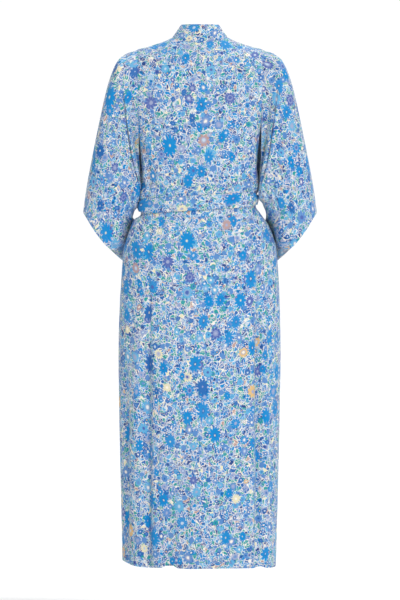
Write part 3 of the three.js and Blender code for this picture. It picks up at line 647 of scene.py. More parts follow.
# ---------------------------------------------------------------- back and fronts
CHEST_RUN = 172  # over the shoulder from the chest line to the seam
HEM_STITCH = 12  # the hem's stitches lie this far above its edge
HEM_GROOVE, HEM_GROOVE_REACH = 0.5, 2.2  # how the hem's stitches draw the cloth in
HEM_PRINT_SHIFT = (37.0, 11.0)
# Where the panels lie on the printed cloth.
PANEL_PRINT = {"back": (0.0, 0.0), "front_left": (300.0, 120.0), "front_right": (-700.0, -120.0)}
SEAT_Z = -900.0  # the panels' columns are spaced evenly at this level
FINE = 1201  # points of a line along which distances are summed


def body_rows(cell):
    """Shares of the climb to the shoulder, levels, and shares of the hem's stretch, top to foot."""
    over = steps_between(CHEST_RUN, cell, end_edge=False)
    climbs = np.cos(over / CHEST_RUN * math.pi / 2)[:-1]
    levels = np.linspace(CHEST_Z, HEM_BEND_Z, round((CHEST_Z - HEM_BEND_Z) / cell) + 1)
    depth = HEM_BEND_Z - HEM_Z
    shares = steps_between(depth, cell, start_edge=False)[1:] / depth
    stitched = 1 - HEM_STITCH / depth
    shares[nearest(shares, stitched)] = stitched
    return climbs, levels, shares


def cloth_uv(grid, chest_row, centre, shift):
    """Places on the flat cloth: distance along each row from its centre column, fixed above the
    chest, and distance down each column from the chest row."""
    along = run_lengths(grid, 1)
    across = along - along[:, centre : centre + 1]
    across[:chest_row] = across[chest_row]
    down = run_lengths(grid, 0)
    return np.stack([across + shift[0], down[chest_row] - down + shift[1]], axis=-1)


def outward_from_axis(grid):
    """Away from the upright axis through the neck, a little more so to the front and back."""
    return grid * np.array([1.0, 1.3, 0.0])


def finish_panel(grid, uv, sizes):
    """A panel's parts: its wall with rolled seam edges, the hem turned up inside, and the hem's
    stitches."""
    outward = outward_from_axis(grid)
    normal, _ = grid_normals(grid, False, outward)
    grid = grid - normal * edge_roll(grid, SEWN_EDGES, sizes.seam_roll / MM)[..., None]
    below = run_lengths(grid, 0)
    left = below[-1:] - below
    groove = bell(left - HEM_STITCH, HEM_GROOVE_REACH) * HEM_GROOVE
    grid = grid - normal * groove[..., None]
    stitched = nearest(left[:, left.shape[1] // 2], HEM_STITCH)
    return hemmed(grid, uv, sizes.cloth_wall / MM, outward, stitched, HEM_PRINT_SHIFT, sizes)


def back_grid(sizes):
    """The back panel: columns are equal distances round the seat, rows climb over the shoulder,
    hang level and end in the uneven hem."""
    cell = sizes.cell / MM
    climbs, levels, shares = body_rows(cell)
    fine = np.linspace(-1, 1, FINE)
    seat = form_point(BACK, fine * cut_angle(SEAT_Z), SEAT_Z)
    run = run_lengths(seat[None], 1)[0]
    u = np.interp(steps_between(run[-1], cell), run, fine)
    shoulder_x = form_point(BACK, u * cut_angle(0.0), float(CHEST_Z))[:, 0]
    hem_x = form_point(BACK, u * cut_angle(float(HEM_Z)), float(HEM_Z))[:, 0]
    far = np.abs(shoulder_x)
    neck_z = mix(NECK_BACK_Z, RIDGE(np.array(float(NECK_X))), (far / NECK_X) ** 2)
    top = np.where(far < NECK_X, neck_z, RIDGE(far))
    z = np.concatenate([
        mix(CHEST_Z, top[None], climbs[:, None]),
        np.repeat(levels[:, None], len(u), 1),
        hem_level(BACK, hem_x[None], shares[:, None]),
    ])
    grid = form_point(BACK, u[None] * cut_angle(z), z, 0.0, sizes.crease_strength)
    return grid, len(climbs), len(u) // 2


def front_grid(hand, sizes):
    """A front panel, from its side edge to the collar seam. The right one lies behind the left."""
    cell = sizes.cell / MM
    climbs, levels, shares = body_rows(cell)
    fine = np.linspace(0, 1, FINE // 2 + 1)
    ends = cut_angle(SEAT_Z), angle_at(SEAM_X(SEAT_Z), SEAT_Z)
    seat = form_point(FRONT, np.linspace(*ends, len(fine)), SEAT_Z)
    run = run_lengths(seat[None], 1)[0]
    u = np.interp(steps_between(run[-1], cell), run, fine)
    seam, _ = seam_at_climb(climbs)
    over_x = mix(FORM["cut"](0.0), seam[:, None] + SEAM / 2, u[None])
    over_z = mix(CHEST_Z, RIDGE(over_x), climbs[:, None])
    over = form_point(FRONT, hand * angle_at(over_x, 0.0), over_z, 0.0, sizes.crease_strength)
    near = np.concatenate([levels, mix(HEM_BEND_Z, HEM_Z, shares)])[:, None]
    end = angle_at(SEAM_X(near) + SEAM / 2, near)
    angle = hand * mix(cut_angle(near), end, u[None])
    x = form_point(FRONT, angle, near)[..., 0]
    z = np.concatenate([
        np.repeat(levels[:, None], len(u), 1),
        hem_level(FRONT, x[len(levels) :], shares[:, None]),
    ])
    inset = under_inset(x, z) if hand == RIGHT else np.zeros_like(x)
    hanging = form_point(FRONT, angle, z, inset, sizes.crease_strength)
    return np.concatenate([over, hanging]), len(climbs)


# ---------------------------------------------------------------- sleeves
CUFF_STITCH = 20  # the cuff's stitches lie this far above its edge
CUFF_GROOVE, CUFF_GROOVE_REACH = 0.6, 2.4
CUFF_PRINT_SHIFT = (29.0, 29.0)
SLEEVE_PRINT = (610.0, 140.0)  # where a sleeve lies on the printed cloth
SLEEVE_WAVES = 0.45  # depth of a sleeve's slow unevenness
SLEEVE_FREE, FOLD_FREE = (0.02, 0.12), 0.05  # it grows away from the armhole and the two folds
SLEEVE_TUCK, SLEEVE_TUCK_REACH = 3.4, 3.0  # the sleeve's edge runs in under the body's
UV_LEVELS = 220
UV_RING_FADES = (0.3, 0.6)  # share down the front half
UV_EASE = 50
HUG_START = (3, 13)  # distances from the armhole
HUG_UPPER, HUG_LOWER = (-396, -410), (-428, -452)  # the sleeve rests above and below these levels
HUG_FROM, HUG_FULL = 0.55, 0.75  # shares down the ring
HUG_DRAW, HUG_DRAW_LOWER = 10, 4  # how far it is drawn in, and how much more below the belt
HUG_TURN, HUG_FOLD_FROM = 50, 0.8  # how far the lower fold turns forward, and from which share down
HUG_BELT, HUG_BELT_WALL = (12, 20), 3.4  # distances from the belt's middle, and its thickness
HUG_CLEAR, HUG_EASE = 2.5, 2
SLANT_STEPS = 3

def armhole_depth(side, w):
    """Half depth of the armhole at share w down it, on the body's own edge."""
    z = np.minimum(RIDGE(FORM["cut"](0.0)), mix(RING["top_z"](0.0), RING["low_z"](0.0), w))
    return np.abs(form_point(side, cut_angle(z), z)[..., 1])


def sleeve_point(s, turn):
    """A point of the left sleeve: s runs from the armhole to the cuff, and turn goes from the
    underarm up the front (below 0), over the top at 0 and down the back. A ring is an upright
    skewed superellipse that blends into the armhole."""
    w = (1 - np.cos(turn)) / 2
    skewed = w ** (math.log(0.5) / np.log(RING["peak"](s)))
    full = RING["full"](s)
    own = RING["depth"](s) * np.maximum(0, 1 - np.abs(2 * skewed - 1) ** full) ** (1 / full)
    behind = turn >= 0
    edge = np.where(behind, armhole_depth(BACK, w), armhole_depth(FRONT, w))
    blend = smooth(0, ARMHOLE_BLEND, s)
    depth = mix(edge, own, blend)
    lift_from = np.where(behind, CUFF_LIFT_FROM[BACK], CUFF_LIFT_FROM[FRONT])
    lift = CUFF_LIFT * smooth(lift_from, 1, w) * smooth(CUFF_LIFT_START, 1, s)
    bow = CUFF_BOW * np.sin(math.pi * w) * smooth(CUFF_BOW_START, 1, s)
    corner = smooth(CUFF_CORNER_FROM, CUFF_CORNER, w) * (1 - smooth(CUFF_CORNER, 1, w)) * ~behind
    drop = CUFF_DROP * corner * smooth(CUFF_DROP_START, 1, s)
    z = mix(RING["top_z"](s), RING["low_z"](s), w) + lift - bow - drop
    x = mix(FORM["cut"](z) + SEAM, mix(RING["top_x"](s), RING["low_x"](s), w), blend)
    at_fold = (w < 1e-9) | (w > 1 - 1e-9)
    y = np.where(at_fold, 0, np.where(behind, 1, -1) * depth) - RING["ahead"](s)
    return np.stack([x, y, z], axis=-1)


def sleeve_grid(sizes):
    """The left sleeve's grid, the depth of its creases, and each column's share down its ring."""
    cell = sizes.cell / MM
    s = steps_between(SLEEVE_LENGTH, cell) / SLEEVE_LENGTH
    turn = np.linspace(-math.pi, math.pi, 2 * round(360 / cell) + 1)[:-1]
    grid = sleeve_point(s[:, None], turn[None])
    w = np.broadcast_to((1 - np.cos(turn[None])) / 2, grid.shape[:2])
    along = np.broadcast_to(s[:, None], grid.shape[:2])
    depth = np.zeros(grid.shape[:2])
    scale = np.array([SLEEVE_LENGTH, SLEEVE_DROP] * 2 + [1, 1], float)
    for side, chosen in ((BACK, turn >= 0), (FRONT, turn < 0)):
        mine = np.array(SLEEVE_CREASES[side]) * scale
        depth = depth + crease_sum(mine, along * SLEEVE_LENGTH, w * SLEEVE_DROP) * chosen[None]
    waves = np.sin(along * 17 + w * 5) * np.sin(w * 13 - along * 6)
    waves = waves + 0.7 * np.sin(along * 31 + w * 9)
    calm = smooth(*SLEEVE_FREE, along) * smooth(0, FOLD_FREE, w) * (1 - smooth(1 - FOLD_FREE, 1, w))
    return grid, (depth + SLEEVE_WAVES * waves) * calm * sizes.crease_strength, w


def rest_on_body(grid, w, hand):
    """A sleeve whose inner side is drawn in until it rests on the body, but for a short stretch
    under the belt. Below that, its fold also turns forward along the skirt. What would come nearer
    to the body than HUG_CLEAR is kept there, by a hyperbola that eases from one to the other."""
    x, y, z = (grid[..., i] for i in range(3))
    start = smooth(*HUG_START, run_lengths(grid, 0))
    level = z
    for _ in range(SLANT_STEPS):
        level = z - slant(hand * x, level)
    below = smooth(*HUG_LOWER, level)
    drawn = np.maximum(1 - smooth(*HUG_UPPER, level), below)
    y = y - HUG_TURN * smooth(HUG_FOLD_FROM, 1, w) * below * start
    x = x - (HUG_DRAW * drawn + HUG_DRAW_LOWER * below) * smooth(HUG_FROM, 1, w) * start
    power = FORM["power"](level)
    share = np.clip(np.abs(y) / np.where(y > 0, FORM["back"](level), FORM["front"](level)), 0, 1)
    body = FORM["width"](level) * (1 - share**power) ** (1 / power) + hand * FORM["push"](level)
    by_belt = 1 - smooth(*HUG_BELT, np.abs(level - BELT_Z))
    belt = (STANDOFF[hand] + HUG_BELT_WALL) * by_belt
    off = x - body - belt - HUG_CLEAR
    eased = x - off + (off + np.sqrt(off * off + HUG_EASE**2)) / 2
    return np.stack([mix(x, eased, start * smooth(HUG_FROM, HUG_FULL, w)), y, z], axis=-1)


def sleeve_uv(grid):
    """Places on the flat sleeve: height along its straight outer fold, and distance round it from
    that fold. The distance is summed along cuts of one height or, where that is longer, round the
    ring, but for the lower part of the front half. Near the shoulder, where the outer line leaves
    the fold, the cloth starts further in."""
    top = grid.shape[1] // 2
    height = grid @ SLEEVE_AXIS
    lateral = np.abs(grid[:, top] @ np.cross(SLEEVE_AXIS, [0.0, 1.0, 0.0]))
    fold = -np.minimum.accumulate(height[:, top])
    levels = np.linspace(-height.max(), -height.min(), UV_LEVELS)
    around = np.zeros(height.shape)

    def flat_lengths(steps):
        return np.sqrt(np.maximum(np.sum(steps * steps, axis=-1) - (steps @ SLEEVE_AXIS) ** 2, 0))

    for sign, half in ((1, slice(top, None)), (-1, slice(top, None, -1))):
        rings, sunk = grid[:, half], -np.minimum.accumulate(height[:, half], axis=1)
        met = np.array(
            [
                [np.interp(levels, down, ring[:, i]) for i in range(3)]
                for ring, down in zip(rings, sunk)
            ]
        ).transpose(0, 2, 1)
        steps = flat_lengths(np.diff(met, axis=0)) * (levels >= fold[:-1, None])
        last = np.concatenate([[0], np.cumsum(flat_lengths(np.diff(rings[-1], axis=0)))])
        steps = np.concatenate([steps, np.interp(levels, sunk[-1], last)[None]])
        total = np.cumsum(steps[::-1], axis=0)[::-1]
        run = np.array([np.interp(down, levels, sums) for down, sums in zip(sunk, total)])
        ring_run = np.cumsum(flat_lengths(np.diff(rings, axis=1)), axis=1)
        w = (1 - np.cos(np.linspace(0, math.pi, run.shape[1])))[1:] / 2
        kept = 1 - smooth(*UV_RING_FADES, w) * (sign < 0)
        run[:, 1:] += np.maximum(ring_run - run[:, 1:], 0) * kept
        run[:, 0] = 0
        short = np.interp(sunk, fold, lateral.max() - lateral)
        around[:, half] = sign * (run + short * smooth(0, UV_EASE, run))
    return np.stack([around, height - height[-1, top]], axis=-1)


def sleeve_parts(hand, sizes):
    """A sleeve's parts: its wall, rolled in at the armhole, the cuff turned up inside and the
    cuff's stitches. The right one is the mirror image of the left."""
    grid, relief_depth, w = sleeve_grid(sizes)
    wall = sizes.cloth_wall / MM
    middle = grid.mean(1, keepdims=True)
    normal, _ = grid_normals(grid, True, grid - middle)
    roll = edge_roll(grid, ("first_row", "last_row"), sizes.seam_roll / MM)
    down = run_lengths(grid, 0)
    left = down[-1:] - down
    groove = bell(left - CUFF_STITCH, CUFF_GROOVE_REACH) * CUFF_GROOVE
    grid = grid + normal * (relief_depth - roll - groove)[..., None]
    grid[..., 0] -= SLEEVE_TUCK * bell(down, SLEEVE_TUCK_REACH)
    uv = sleeve_uv(closed(grid)) * np.array([hand, 1.0])
    uv = uv + np.array([hand, 1.0]) * SLEEVE_PRINT
    stitched = nearest(left[:, left.shape[1] // 4], CUFF_STITCH)
    grid = rest_on_body(grid, w, hand) * np.array([hand, 1.0, 1.0])
    outward = grid - grid.mean(1, keepdims=True)
    return hemmed(grid, uv, wall, outward, stitched, CUFF_PRINT_SHIFT, sizes, around=True)

# ---------------------------------------------------------------- collar band
BAND_TUCK = 2.4  # how far the band's sewn edge runs past its seam
BAND_STITCH = 2.2  # the band's stitches lie this far in from its seam and from its free edge
BAND_ROLL, BAND_GROOVE, BAND_GROOVE_REACH = 0.7, 0.3, 1.2
BAND_SOFT, BAND_SOFT_LENGTH = 0.5, 19  # a slow unevenness along the middle of the band
BAND_PRINT = (900.0, 55.0)  # where the band lies on the printed cloth
BAND_CELL = 0.8  # the band's grid, in cells
BAND_EASE = 30  # the creases grow over this stretch below the chest line
BAND_NEXT_Z = -140  # a level below the chest line, which gives the neck's curves their last slope


def band_lower(hand, z, w, strength):
    """Rows of the band below the neck, where it lies on the body's form."""
    rise = BAND_RISE * smooth(BAND_LEVEL_Z, CHEST_Z, z)
    edge_x = SEAM_X(z) - SEAM / 2 - BAND_WIDTH * w
    own = np.maximum(z + rise * w, HEM_Z)
    angle = hand * angle_at(edge_x, own)
    inset = 0.0
    if hand == RIGHT:
        inset = under_inset(form_point(FRONT, angle, own)[..., 0], own)
    return form_point(FRONT, angle, own, inset, strength)


def band_neck(hand, w):
    """Rows of the band round one half of the neck, straight from the seam's foot to the free edge,
    from the centre back to the first level rows."""
    back, front = np.array(NECK_EDGE_BACK, float), np.array(NECK_EDGE_FRONT, float)
    seam_z = mix(NECK_BACK_Z, RIDGE(np.array(float(NECK_X))), (back[:, 0] / NECK_X) ** 2)
    behind = form_point(BACK, hand * angle_at(back[:, 0], 0.0), seam_z) + np.array([0, 0, SEAM])
    front_x, front_z = seam_at_climb(front[:, 0])
    ahead = form_point(FRONT, hand * angle_at(front_x, 0.0), front_z)
    ahead = ahead - np.array([hand * SEAM / 2, 0, 0])
    foot = np.concatenate([behind, ahead])[:, None]
    edge = np.concatenate([back, front])[:, 1:] * np.array([hand, 1.0, 1.0])
    neck = mix(foot, edge[:, None], w[None, :, None])
    level = band_lower(hand, np.array([[CHEST_Z], [BAND_NEXT_Z]], float), w[None], 0.0)
    return np.concatenate([neck, level])


def collar_grid(sizes):
    """The band from the right hem round the neck to the left hem. Round the neck the rows are read
    from smooth curves through its stations, and below it they lie on the form."""
    cell = sizes.cell / MM
    w = (steps_between(BAND_WIDTH + BAND_TUCK, cell * BAND_CELL) - BAND_TUCK) / BAND_WIDTH
    right, left = band_neck(RIGHT, w), band_neck(LEFT, w)
    stations = np.concatenate([right[:0:-1], left])
    run = run_lengths(stations[:, len(w) // 2][None], 1)[0]
    start, end = run[1], run[-2]
    at = np.linspace(start, end, round((end - start) / (cell * BAND_CELL)) + 1)
    neck = smooth_through(run, stations, at)
    levels = np.linspace(CHEST_Z, HEM_Z, round((CHEST_Z - HEM_Z) / cell) + 1)[1:]
    foot = HEM_Z - (steps_between(cell, cell)[1 - len(EDGE_STEPS) :] - cell)
    levels = np.sort(np.concatenate([levels[:-1], foot]))[::-1][:, None]
    ease = smooth(CHEST_Z, CHEST_Z - BAND_EASE, levels)[..., None]
    lower = {}
    for hand in (LEFT, RIGHT):
        plain = band_lower(hand, levels, w[None], 0.0)
        lower[hand] = mix(plain, band_lower(hand, levels, w[None], sizes.crease_strength), ease)
    return np.concatenate([lower[RIGHT][::-1], neck, lower[LEFT]]), w


def collar_parts(sizes):
    """The collar band's parts: its doubled wall and a row of stitches along each edge."""
    grid, w = collar_grid(sizes)
    outward = outward_from_axis(grid)
    normal, _ = grid_normals(grid, False, outward)
    roll = edge_roll(grid, SEWN_EDGES, BAND_ROLL)
    near = np.minimum(w, 1 - w) * BAND_WIDTH
    groove = bell(near - BAND_STITCH, BAND_GROOVE_REACH) * BAND_GROOVE
    soft = BAND_SOFT * np.sin(run_lengths(grid, 0) / BAND_SOFT_LENGTH) * np.sin(math.pi * w)[None]
    grid = grid - normal * (roll + groove[None] + np.abs(soft))[..., None]
    sewn = [np.s_[2:-2, nearest(side * BAND_WIDTH, BAND_STITCH)] for side in (w, 1 - w)]
    return doubled(grid, run_uv(grid, (1, 0), BAND_PRINT), outward, sizes, sewn)


# ---------------------------------------------------------------- belt, knot and ends
KNOT_X, KNOT_WIDTH, KNOT_HEIGHT, KNOT_DEPTH = 4, 46, 44, 24
KNOT_ROWS, KNOT_COLUMNS, KNOT_POLE, KNOT_WALL = 72, 96, 0.04, 1.2
KNOT_SIZE = 0.93  # of the knot between its folds
KNOT_POWERS = (0.8, 0.9, 0.8)  # they square its form along each axis
KNOT_FOLDS, KNOT_FOLD_DEPTH, KNOT_FOLD_LEAN = 11, 0.045, 0.55
# The pass of the belt over the knot: its slant, its edge, how far it stands out and its crown.
PASS_SLANT, PASS_EDGE, PASS_HEIGHT, PASS_CROWN = 0.28, (0.42, 0.3), 0.06, 4.5
KNOT_PINCH, KNOT_PINCH_FROM = 0.05, 0.55  # folds that run out of the belt at both sides
# The belt's two ends: node, x at the knot, how far the foot lies to the side, and length.
TAILS = {LEFT: ("belt_end_left", 16, 34, 350), RIGHT: ("belt_end_right", -9, -24, 320)}
TAIL_HALF_AT_KNOT, TAIL_HALF = 10.5, 17.5
TAIL_OFF_AT_KNOT, TAIL_OFF = 11, 1
TAIL_OPEN = 0.32  # a tail is folded at the knot and lies open from this share of its length on
TAIL_SLANT = 4
TAIL_COLUMNS, TAIL_PLEAT, TAIL_RIPPLE, TAIL_WAVES = 17, 1.44, 0.8, 11
TAIL_FREE, TAIL_CUT = (0.2, 0.5), 0.9  # shares down a tail where it starts to wave and to slant
# The belt's creases: share round each half, height from -1 to 1, and depth.
BELT_CREASES = (
    (0.12, 0.5, 0.9), (0.31, -0.3, 1.0), (0.52, 0.35, 0.8), (0.7, -0.5, 1.0), (0.86, 0.2, 0.9),
)
BELT_CREASE_LENGTH, BELT_CREASE_REACH = 0.11, 0.22
BELT_WANDER = ((0.35, 9, 1), (0.25, 23, 2))  # how far the creases wander, how often, and phase
BELT_SWELL = 0.9  # how far the middle of the belt stands out
BELT_ROUND, BELT_ROUND_POWER = 0.5, 2.2  # at the sides its edges come back towards the cloth
BELT_ROWS, BELT_HALF_ROUND = 15, 330  # rows from edge to edge, and length of half the belt
BELT_PRINT, KNOT_PRINT = (1300, 0), (1500, 0)  # where they lie on the printed cloth
TAIL_PRINT = {LEFT: (1790, 1790), RIGHT: (1610, 1610)}


def belt_point(side, angle, up, out=0.0):
    """A point of the belt's outer face, up from -1 at its lower edge to 1 at its upper edge."""
    at_side = smooth(SIDE_FROM, 1, np.abs(np.sin(angle)))
    half = mix(BELT_HALF, BELT_HALF_AT_SIDE, at_side)
    standoff = np.where(angle >= 0, STANDOFF[LEFT], STANDOFF[RIGHT])
    rounded = 1 - BELT_ROUND * np.abs(up) ** BELT_ROUND_POWER
    off = BELT_GAP + BELT_SOLID_WALL + standoff * at_side * rounded + out
    return form_point(side, angle, BELT_Z + half * up, -off)


def belt_parts(sizes):
    """The belt's parts: a doubled band round the waist with long soft creases that wander across
    it, and a row of stitches along each edge."""
    cell = sizes.cell / MM
    half_turn = np.linspace(-math.pi / 2, math.pi / 2, round(BELT_HALF_ROUND / cell) + 1)[:-1]
    up = np.linspace(1, -1, BELT_ROWS)[:, None]
    halves = []
    for side, angle in ((BACK, half_turn), (FRONT, -half_turn)):
        turn = angle[None] / math.pi + 0.5
        wander = sum(far * np.sin(many * turn + i * side) for far, many, i in BELT_WANDER)
        crease = np.zeros(np.broadcast(turn, up).shape)
        for at, height, depth in BELT_CREASES:
            along = bell(turn - at, BELT_CREASE_LENGTH)
            crease = crease + depth * along * bell(up - height - wander, BELT_CREASE_REACH)
        halves.append(belt_point(side, angle[None], up, BELT_SWELL * hump(up, 1) - crease))
    grid = np.concatenate(halves, axis=1)
    uv = run_uv(closed(grid), (0, 1), BELT_PRINT)
    return doubled(grid, uv, outward_from_axis(grid), sizes, (1, -2), around=True)


def knot_parts():
    """The knot: a soft rounded block whose folds run out of the belt at both sides and round it,
    with one pass of the belt laid over it on the slant."""
    polar = np.linspace(KNOT_POLE, math.pi - KNOT_POLE, KNOT_ROWS)[:, None]
    turn = np.linspace(-math.pi, math.pi, KNOT_COLUMNS + 1)[:-1][None]
    ring, rise = np.sin(polar), np.cos(polar) * np.ones_like(turn)
    ball = (ring * np.sin(turn), -ring * np.cos(turn), rise)
    x, y, z = (signed_power(part, power) for part, power in zip(ball, KNOT_POWERS))
    across = x - PASS_SLANT * z
    wave = np.cos(KNOT_FOLDS * (z + KNOT_FOLD_LEAN * x) + 2.2 * x)
    folds = KNOT_FOLD_DEPTH * wave * smooth(0.1, 0.8, -y)
    over = smooth(*PASS_EDGE, np.abs(across)) * smooth(-0.1, 0.35, -y)
    laid = PASS_HEIGHT * over * np.cos(PASS_CROWN * across)
    pinch = KNOT_PINCH * smooth(KNOT_PINCH_FROM, 1, np.abs(x)) * np.cos(3 * math.pi * z)
    size = KNOT_SIZE + folds * (1 - over) + laid - pinch
    front = float(belt_point(FRONT, np.array(0.0), 0.0)[1])
    middle = np.array([KNOT_X, front - SEAM - KNOT_DEPTH / 2, BELT_Z])
    half = np.array([KNOT_WIDTH, KNOT_DEPTH, KNOT_HEIGHT]) / 2
    grid = middle + np.stack([x, y, z], axis=-1) * size[..., None] * half
    uv = run_uv(closed(grid), (1, 0), KNOT_PRINT)
    return [shell(grid, uv, KNOT_WALL, grid - middle, True, (OUTER, OUTER))]


def tail_parts(hand, sizes):
    """A hanging end of the belt: narrow and folded at the knot, opening out to a flat band that
    turns a little as it falls, with its end cut on the slant and stitched."""
    _, start_x, lean, length = TAILS[hand]
    cell = sizes.cell / MM
    v = steps_between(length, cell)[:, None] / length
    edge = np.linspace(-1, 1, TAIL_COLUMNS)[None]
    opened = smooth(0, TAIL_OPEN, v)
    at = start_x + lean * v + edge * mix(TAIL_HALF_AT_KNOT, TAIL_HALF, opened)
    cut = edge * TAIL_SLANT * hand * smooth(TAIL_CUT, 1, v)
    z = BELT_Z - KNOT_HEIGHT / 2 - SEAM - length * v - cut
    off = mix(TAIL_OFF_AT_KNOT, TAIL_OFF, opened) + SEAM + BELT_SOLID_WALL
    body = form_point(FRONT, angle_at(at, z), z)[..., 1]
    pleat = TAIL_PLEAT * (1 - opened) * np.cos(edge * math.pi * 1.5)
    ripple = TAIL_RIPPLE * smooth(*TAIL_FREE, v) * (1 + np.sin(v * TAIL_WAVES + hand + 1.3 * edge))
    grid = np.stack([at, body - off - ripple + pleat, z + 0 * at], axis=-1)
    uv = run_uv(grid, (1, 0), TAIL_PRINT[hand])
    sewn = [np.s_[4:-3, i] for i in (1, -2)]
    return doubled(grid, uv, np.array([0.0, -1.0, 0.0]), sizes, sewn)


# ---------------------------------------------------------------- shader arithmetic
class Signal:
    """A number that changes over the cloth: a node's output, whose arithmetic adds Math nodes."""

    def __init__(self, nodes, socket):
        self.nodes = nodes
        self.socket = socket

    def __add__(self, other):
        return self.nodes.math("ADD", self, other)

    def __sub__(self, other):
        return self.nodes.math("SUBTRACT", self, other)

    def __mul__(self, other):
        return self.nodes.math("MULTIPLY", self, other)

    def __truediv__(self, other):
        return self.nodes.math("DIVIDE", self, other)

    def __rsub__(self, other):
        return self.nodes.math("SUBTRACT", other, self)

    def __abs__(self):
        return self.nodes.math("ABSOLUTE", self)

    __radd__ = __add__
    __rmul__ = __mul__


class Nodes:
    """Adds nodes to one tree."""

    def __init__(self, tree):
        self.tree = tree
        self.tree.nodes.clear()

    def add(self, kind, settings=None, sockets=None):
        """A node of this kind. Its settings, such as an operation or a ramp's stops, are set first,
        and then its sockets take their values or links."""
        node = self.tree.nodes.new(kind)
        for name, value in (settings or {}).items():
            if name == "stops":
                self.set_stops(node.color_ramp, value)
            else:
                setattr(node, name, value)
        for name, value in (sockets or {}).items():
            if isinstance(value, Signal):
                value = value.socket
            if isinstance(value, bpy.types.NodeSocket):
                self.tree.links.new(value, node.inputs[name])
            elif node.inputs[name].type == "RGBA":
                node.inputs[name].default_value = (*tuple(value)[:3], 1.0)
            else:
                node.inputs[name].default_value = value
        return node

    @staticmethod
    def set_stops(ramp, stops):
        ramp.interpolation = "CONSTANT"
        while len(ramp.elements) < len(stops):
            ramp.elements.new(1.0)
        for element, (place, colour) in zip(ramp.elements, stops):
            element.position = place
            element.color = (*colour, 1.0)

    def math(self, operation, *values):
        node = self.add("ShaderNodeMath", {"operation": operation}, dict(enumerate(values)))
        return Signal(self, node.outputs[0])

    def vector(self, operation, *values):
        node = self.add("ShaderNodeVectorMath", {"operation": operation}, dict(enumerate(values)))
        return node.outputs[0]

    def ease(self, value, start, end):
        """0 before start and 1 past end, with a soft S between them."""
        sockets = {"Value": value, "From Min": start, "From Max": end, "To Min": 0.0, "To Max": 1.0}
        node = self.add("ShaderNodeMapRange", {"interpolation_type": "SMOOTHSTEP"}, sockets)
        return Signal(self, node.outputs["Result"])

    def paint(self, under, over, share):
        """The colour `over` laid on `under` where share is 1."""
        node = self.add("ShaderNodeMix", {"data_type": "RGBA"}, {0: share, 6: under, 7: over})
        return node.outputs[2]

    def pick(self, number, stops):
        """One of several flat colours, by a number from 0 to 1."""
        node = self.add("ShaderNodeValToRGB", {"stops": stops}, {"Fac": number})
        return node.outputs["Color"]


def linear(colour):
    """A display colour, 0 to 255, as a linear one."""
    share = np.array(colour, float) / 255
    low, high = share / 12.92, ((share + 0.055) / 1.055) ** 2.4
    return tuple(float(v) for v in np.where(share < 0.04045, low, high))


# ---------------------------------------------------------------- the print
# Display colours, 0 to 255. The cream of the ground and the bright blue are the scene's own.
HUES = {
    "sky": (96, 178, 222), "teal": (40, 160, 164), "navy": (32, 74, 142), "blue": (38, 108, 182),
    "violet": (78, 104, 180), "lilac": (164, 174, 208), "peri": (92, 144, 206),
    "amber": (232, 192, 124), "rose": (190, 156, 150), "straw": (238, 230, 192),
    "ice": (196, 214, 232),
}
# Each layer gives its hues' shares. Lengths are in metres on the flat cloth.
CHIP_HUES = {
    "blue": 21, "teal": 23, "peri": 14, "sky": 8, "bright": 18, "straw": 2, "ice": 1, "lilac": 4,
    "rose": 2, "navy": 9,
}
CHIP_WIDE, CHIP_HIGH, CHIP_EDGE = 0.0062, 0.0078, (0.039, 0.1014)  # a chip's edge, in cells
CHIP_DOTS, CHIP_DOT = 0.72, (0.2, 0.1)  # chips above this chance have a dot in the middle
LEAF_HUES = {"teal": 5, "blue": 3, "sky": 2, "navy": 1}
LEAF_CELLS, LEAF_SHARE = (0.0125, 3.1, 0.9), 0.45  # as the cells of the flowers
LEAF_REACH, LEAF_HALF, LEAF_EDGE = 1.15, 0.42, (-0.01, 0.035)
LEAF_RIB, LEAF_RIB_SHARE = (0.035, 0.01), 0.7
# Stems: width and height of the cells, shift, half width, hue, share.
STEMS = ((0.026, 0.031, 5.7, 0.026, "cream", 0.8), (0.043, 0.036, 9.2, 0.018, "ice", 0.7))
# Flowers, the lowest layer first. Cells: size, shift, unevenness and how much less wide than high.
# Petals: fewest and most. Notch, reach and heart are shares of the flower.
FLOWERS = (
    {
        "cells": (0.0185, 17.7, 0.85), "petals": (5, 7), "notch": 0.14, "reach": 0.95,
        "share": 0.42, "heart": 0.3, "ring": "peri",
        "hues": {"peri": 8, "sky": 4, "blue": 3, "lilac": 3, "teal": 1},
        "hearts": {"peri": 4, "ice": 2, "blue": 2},
    },
    {
        "cells": (0.0118, 11.3, 0.85), "petals": (5, 5), "notch": 0.26, "reach": 1.0,
        "share": 0.36, "heart": 0.34, "ring": "navy",
        "hues": {
            "blue": 5, "bright": 7, "peri": 3, "cream": 1.5, "violet": 2, "sky": 2, "lilac": 2,
        },
        "hearts": {"cream": 5, "amber": 1.5, "navy": 2, "ice": 3},
    },
    {
        "cells": (0.040, 23.9, 0.85, 1.12), "petals": (8, 13), "notch": 0.34, "reach": 0.88,
        "share": 0.36, "heart": 0.3, "ring": "lilac",
        "hues": {
            "sky": 6, "bright": 5, "straw": 1.6, "peri": 5, "amber": 1.4, "violet": 4, "rose": 0.8,
        },
        "hearts": {"violet": 2, "cream": 4, "lilac": 3, "ice": 3},
    },
    {
        "cells": (0.066, 41.7, 0.9, 1.5), "petals": (9, 13), "notch": 0.38, "reach": 0.84,
        "share": 0.42, "heart": 0.12, "ring": "blue",
        "hues": {"bright": 9, "blue": 1},
        "hearts": {"straw": 4, "lilac": 2, "ice": 1},
    },
)
SHIFT_SLANT = 1.7  # the layers' cells are moved this much further up than across
EDGE_SOFT = (1.3, 0.6)  # a stem softens between these shares of its half width
FLOWER_EDGE = (0.88, 1.04)
VEIN_ACROSS, VEIN_OUT, VEIN_SHARE = (0.5, 0.0), (0.25, 0.6), 0.55  # the veins between the petals
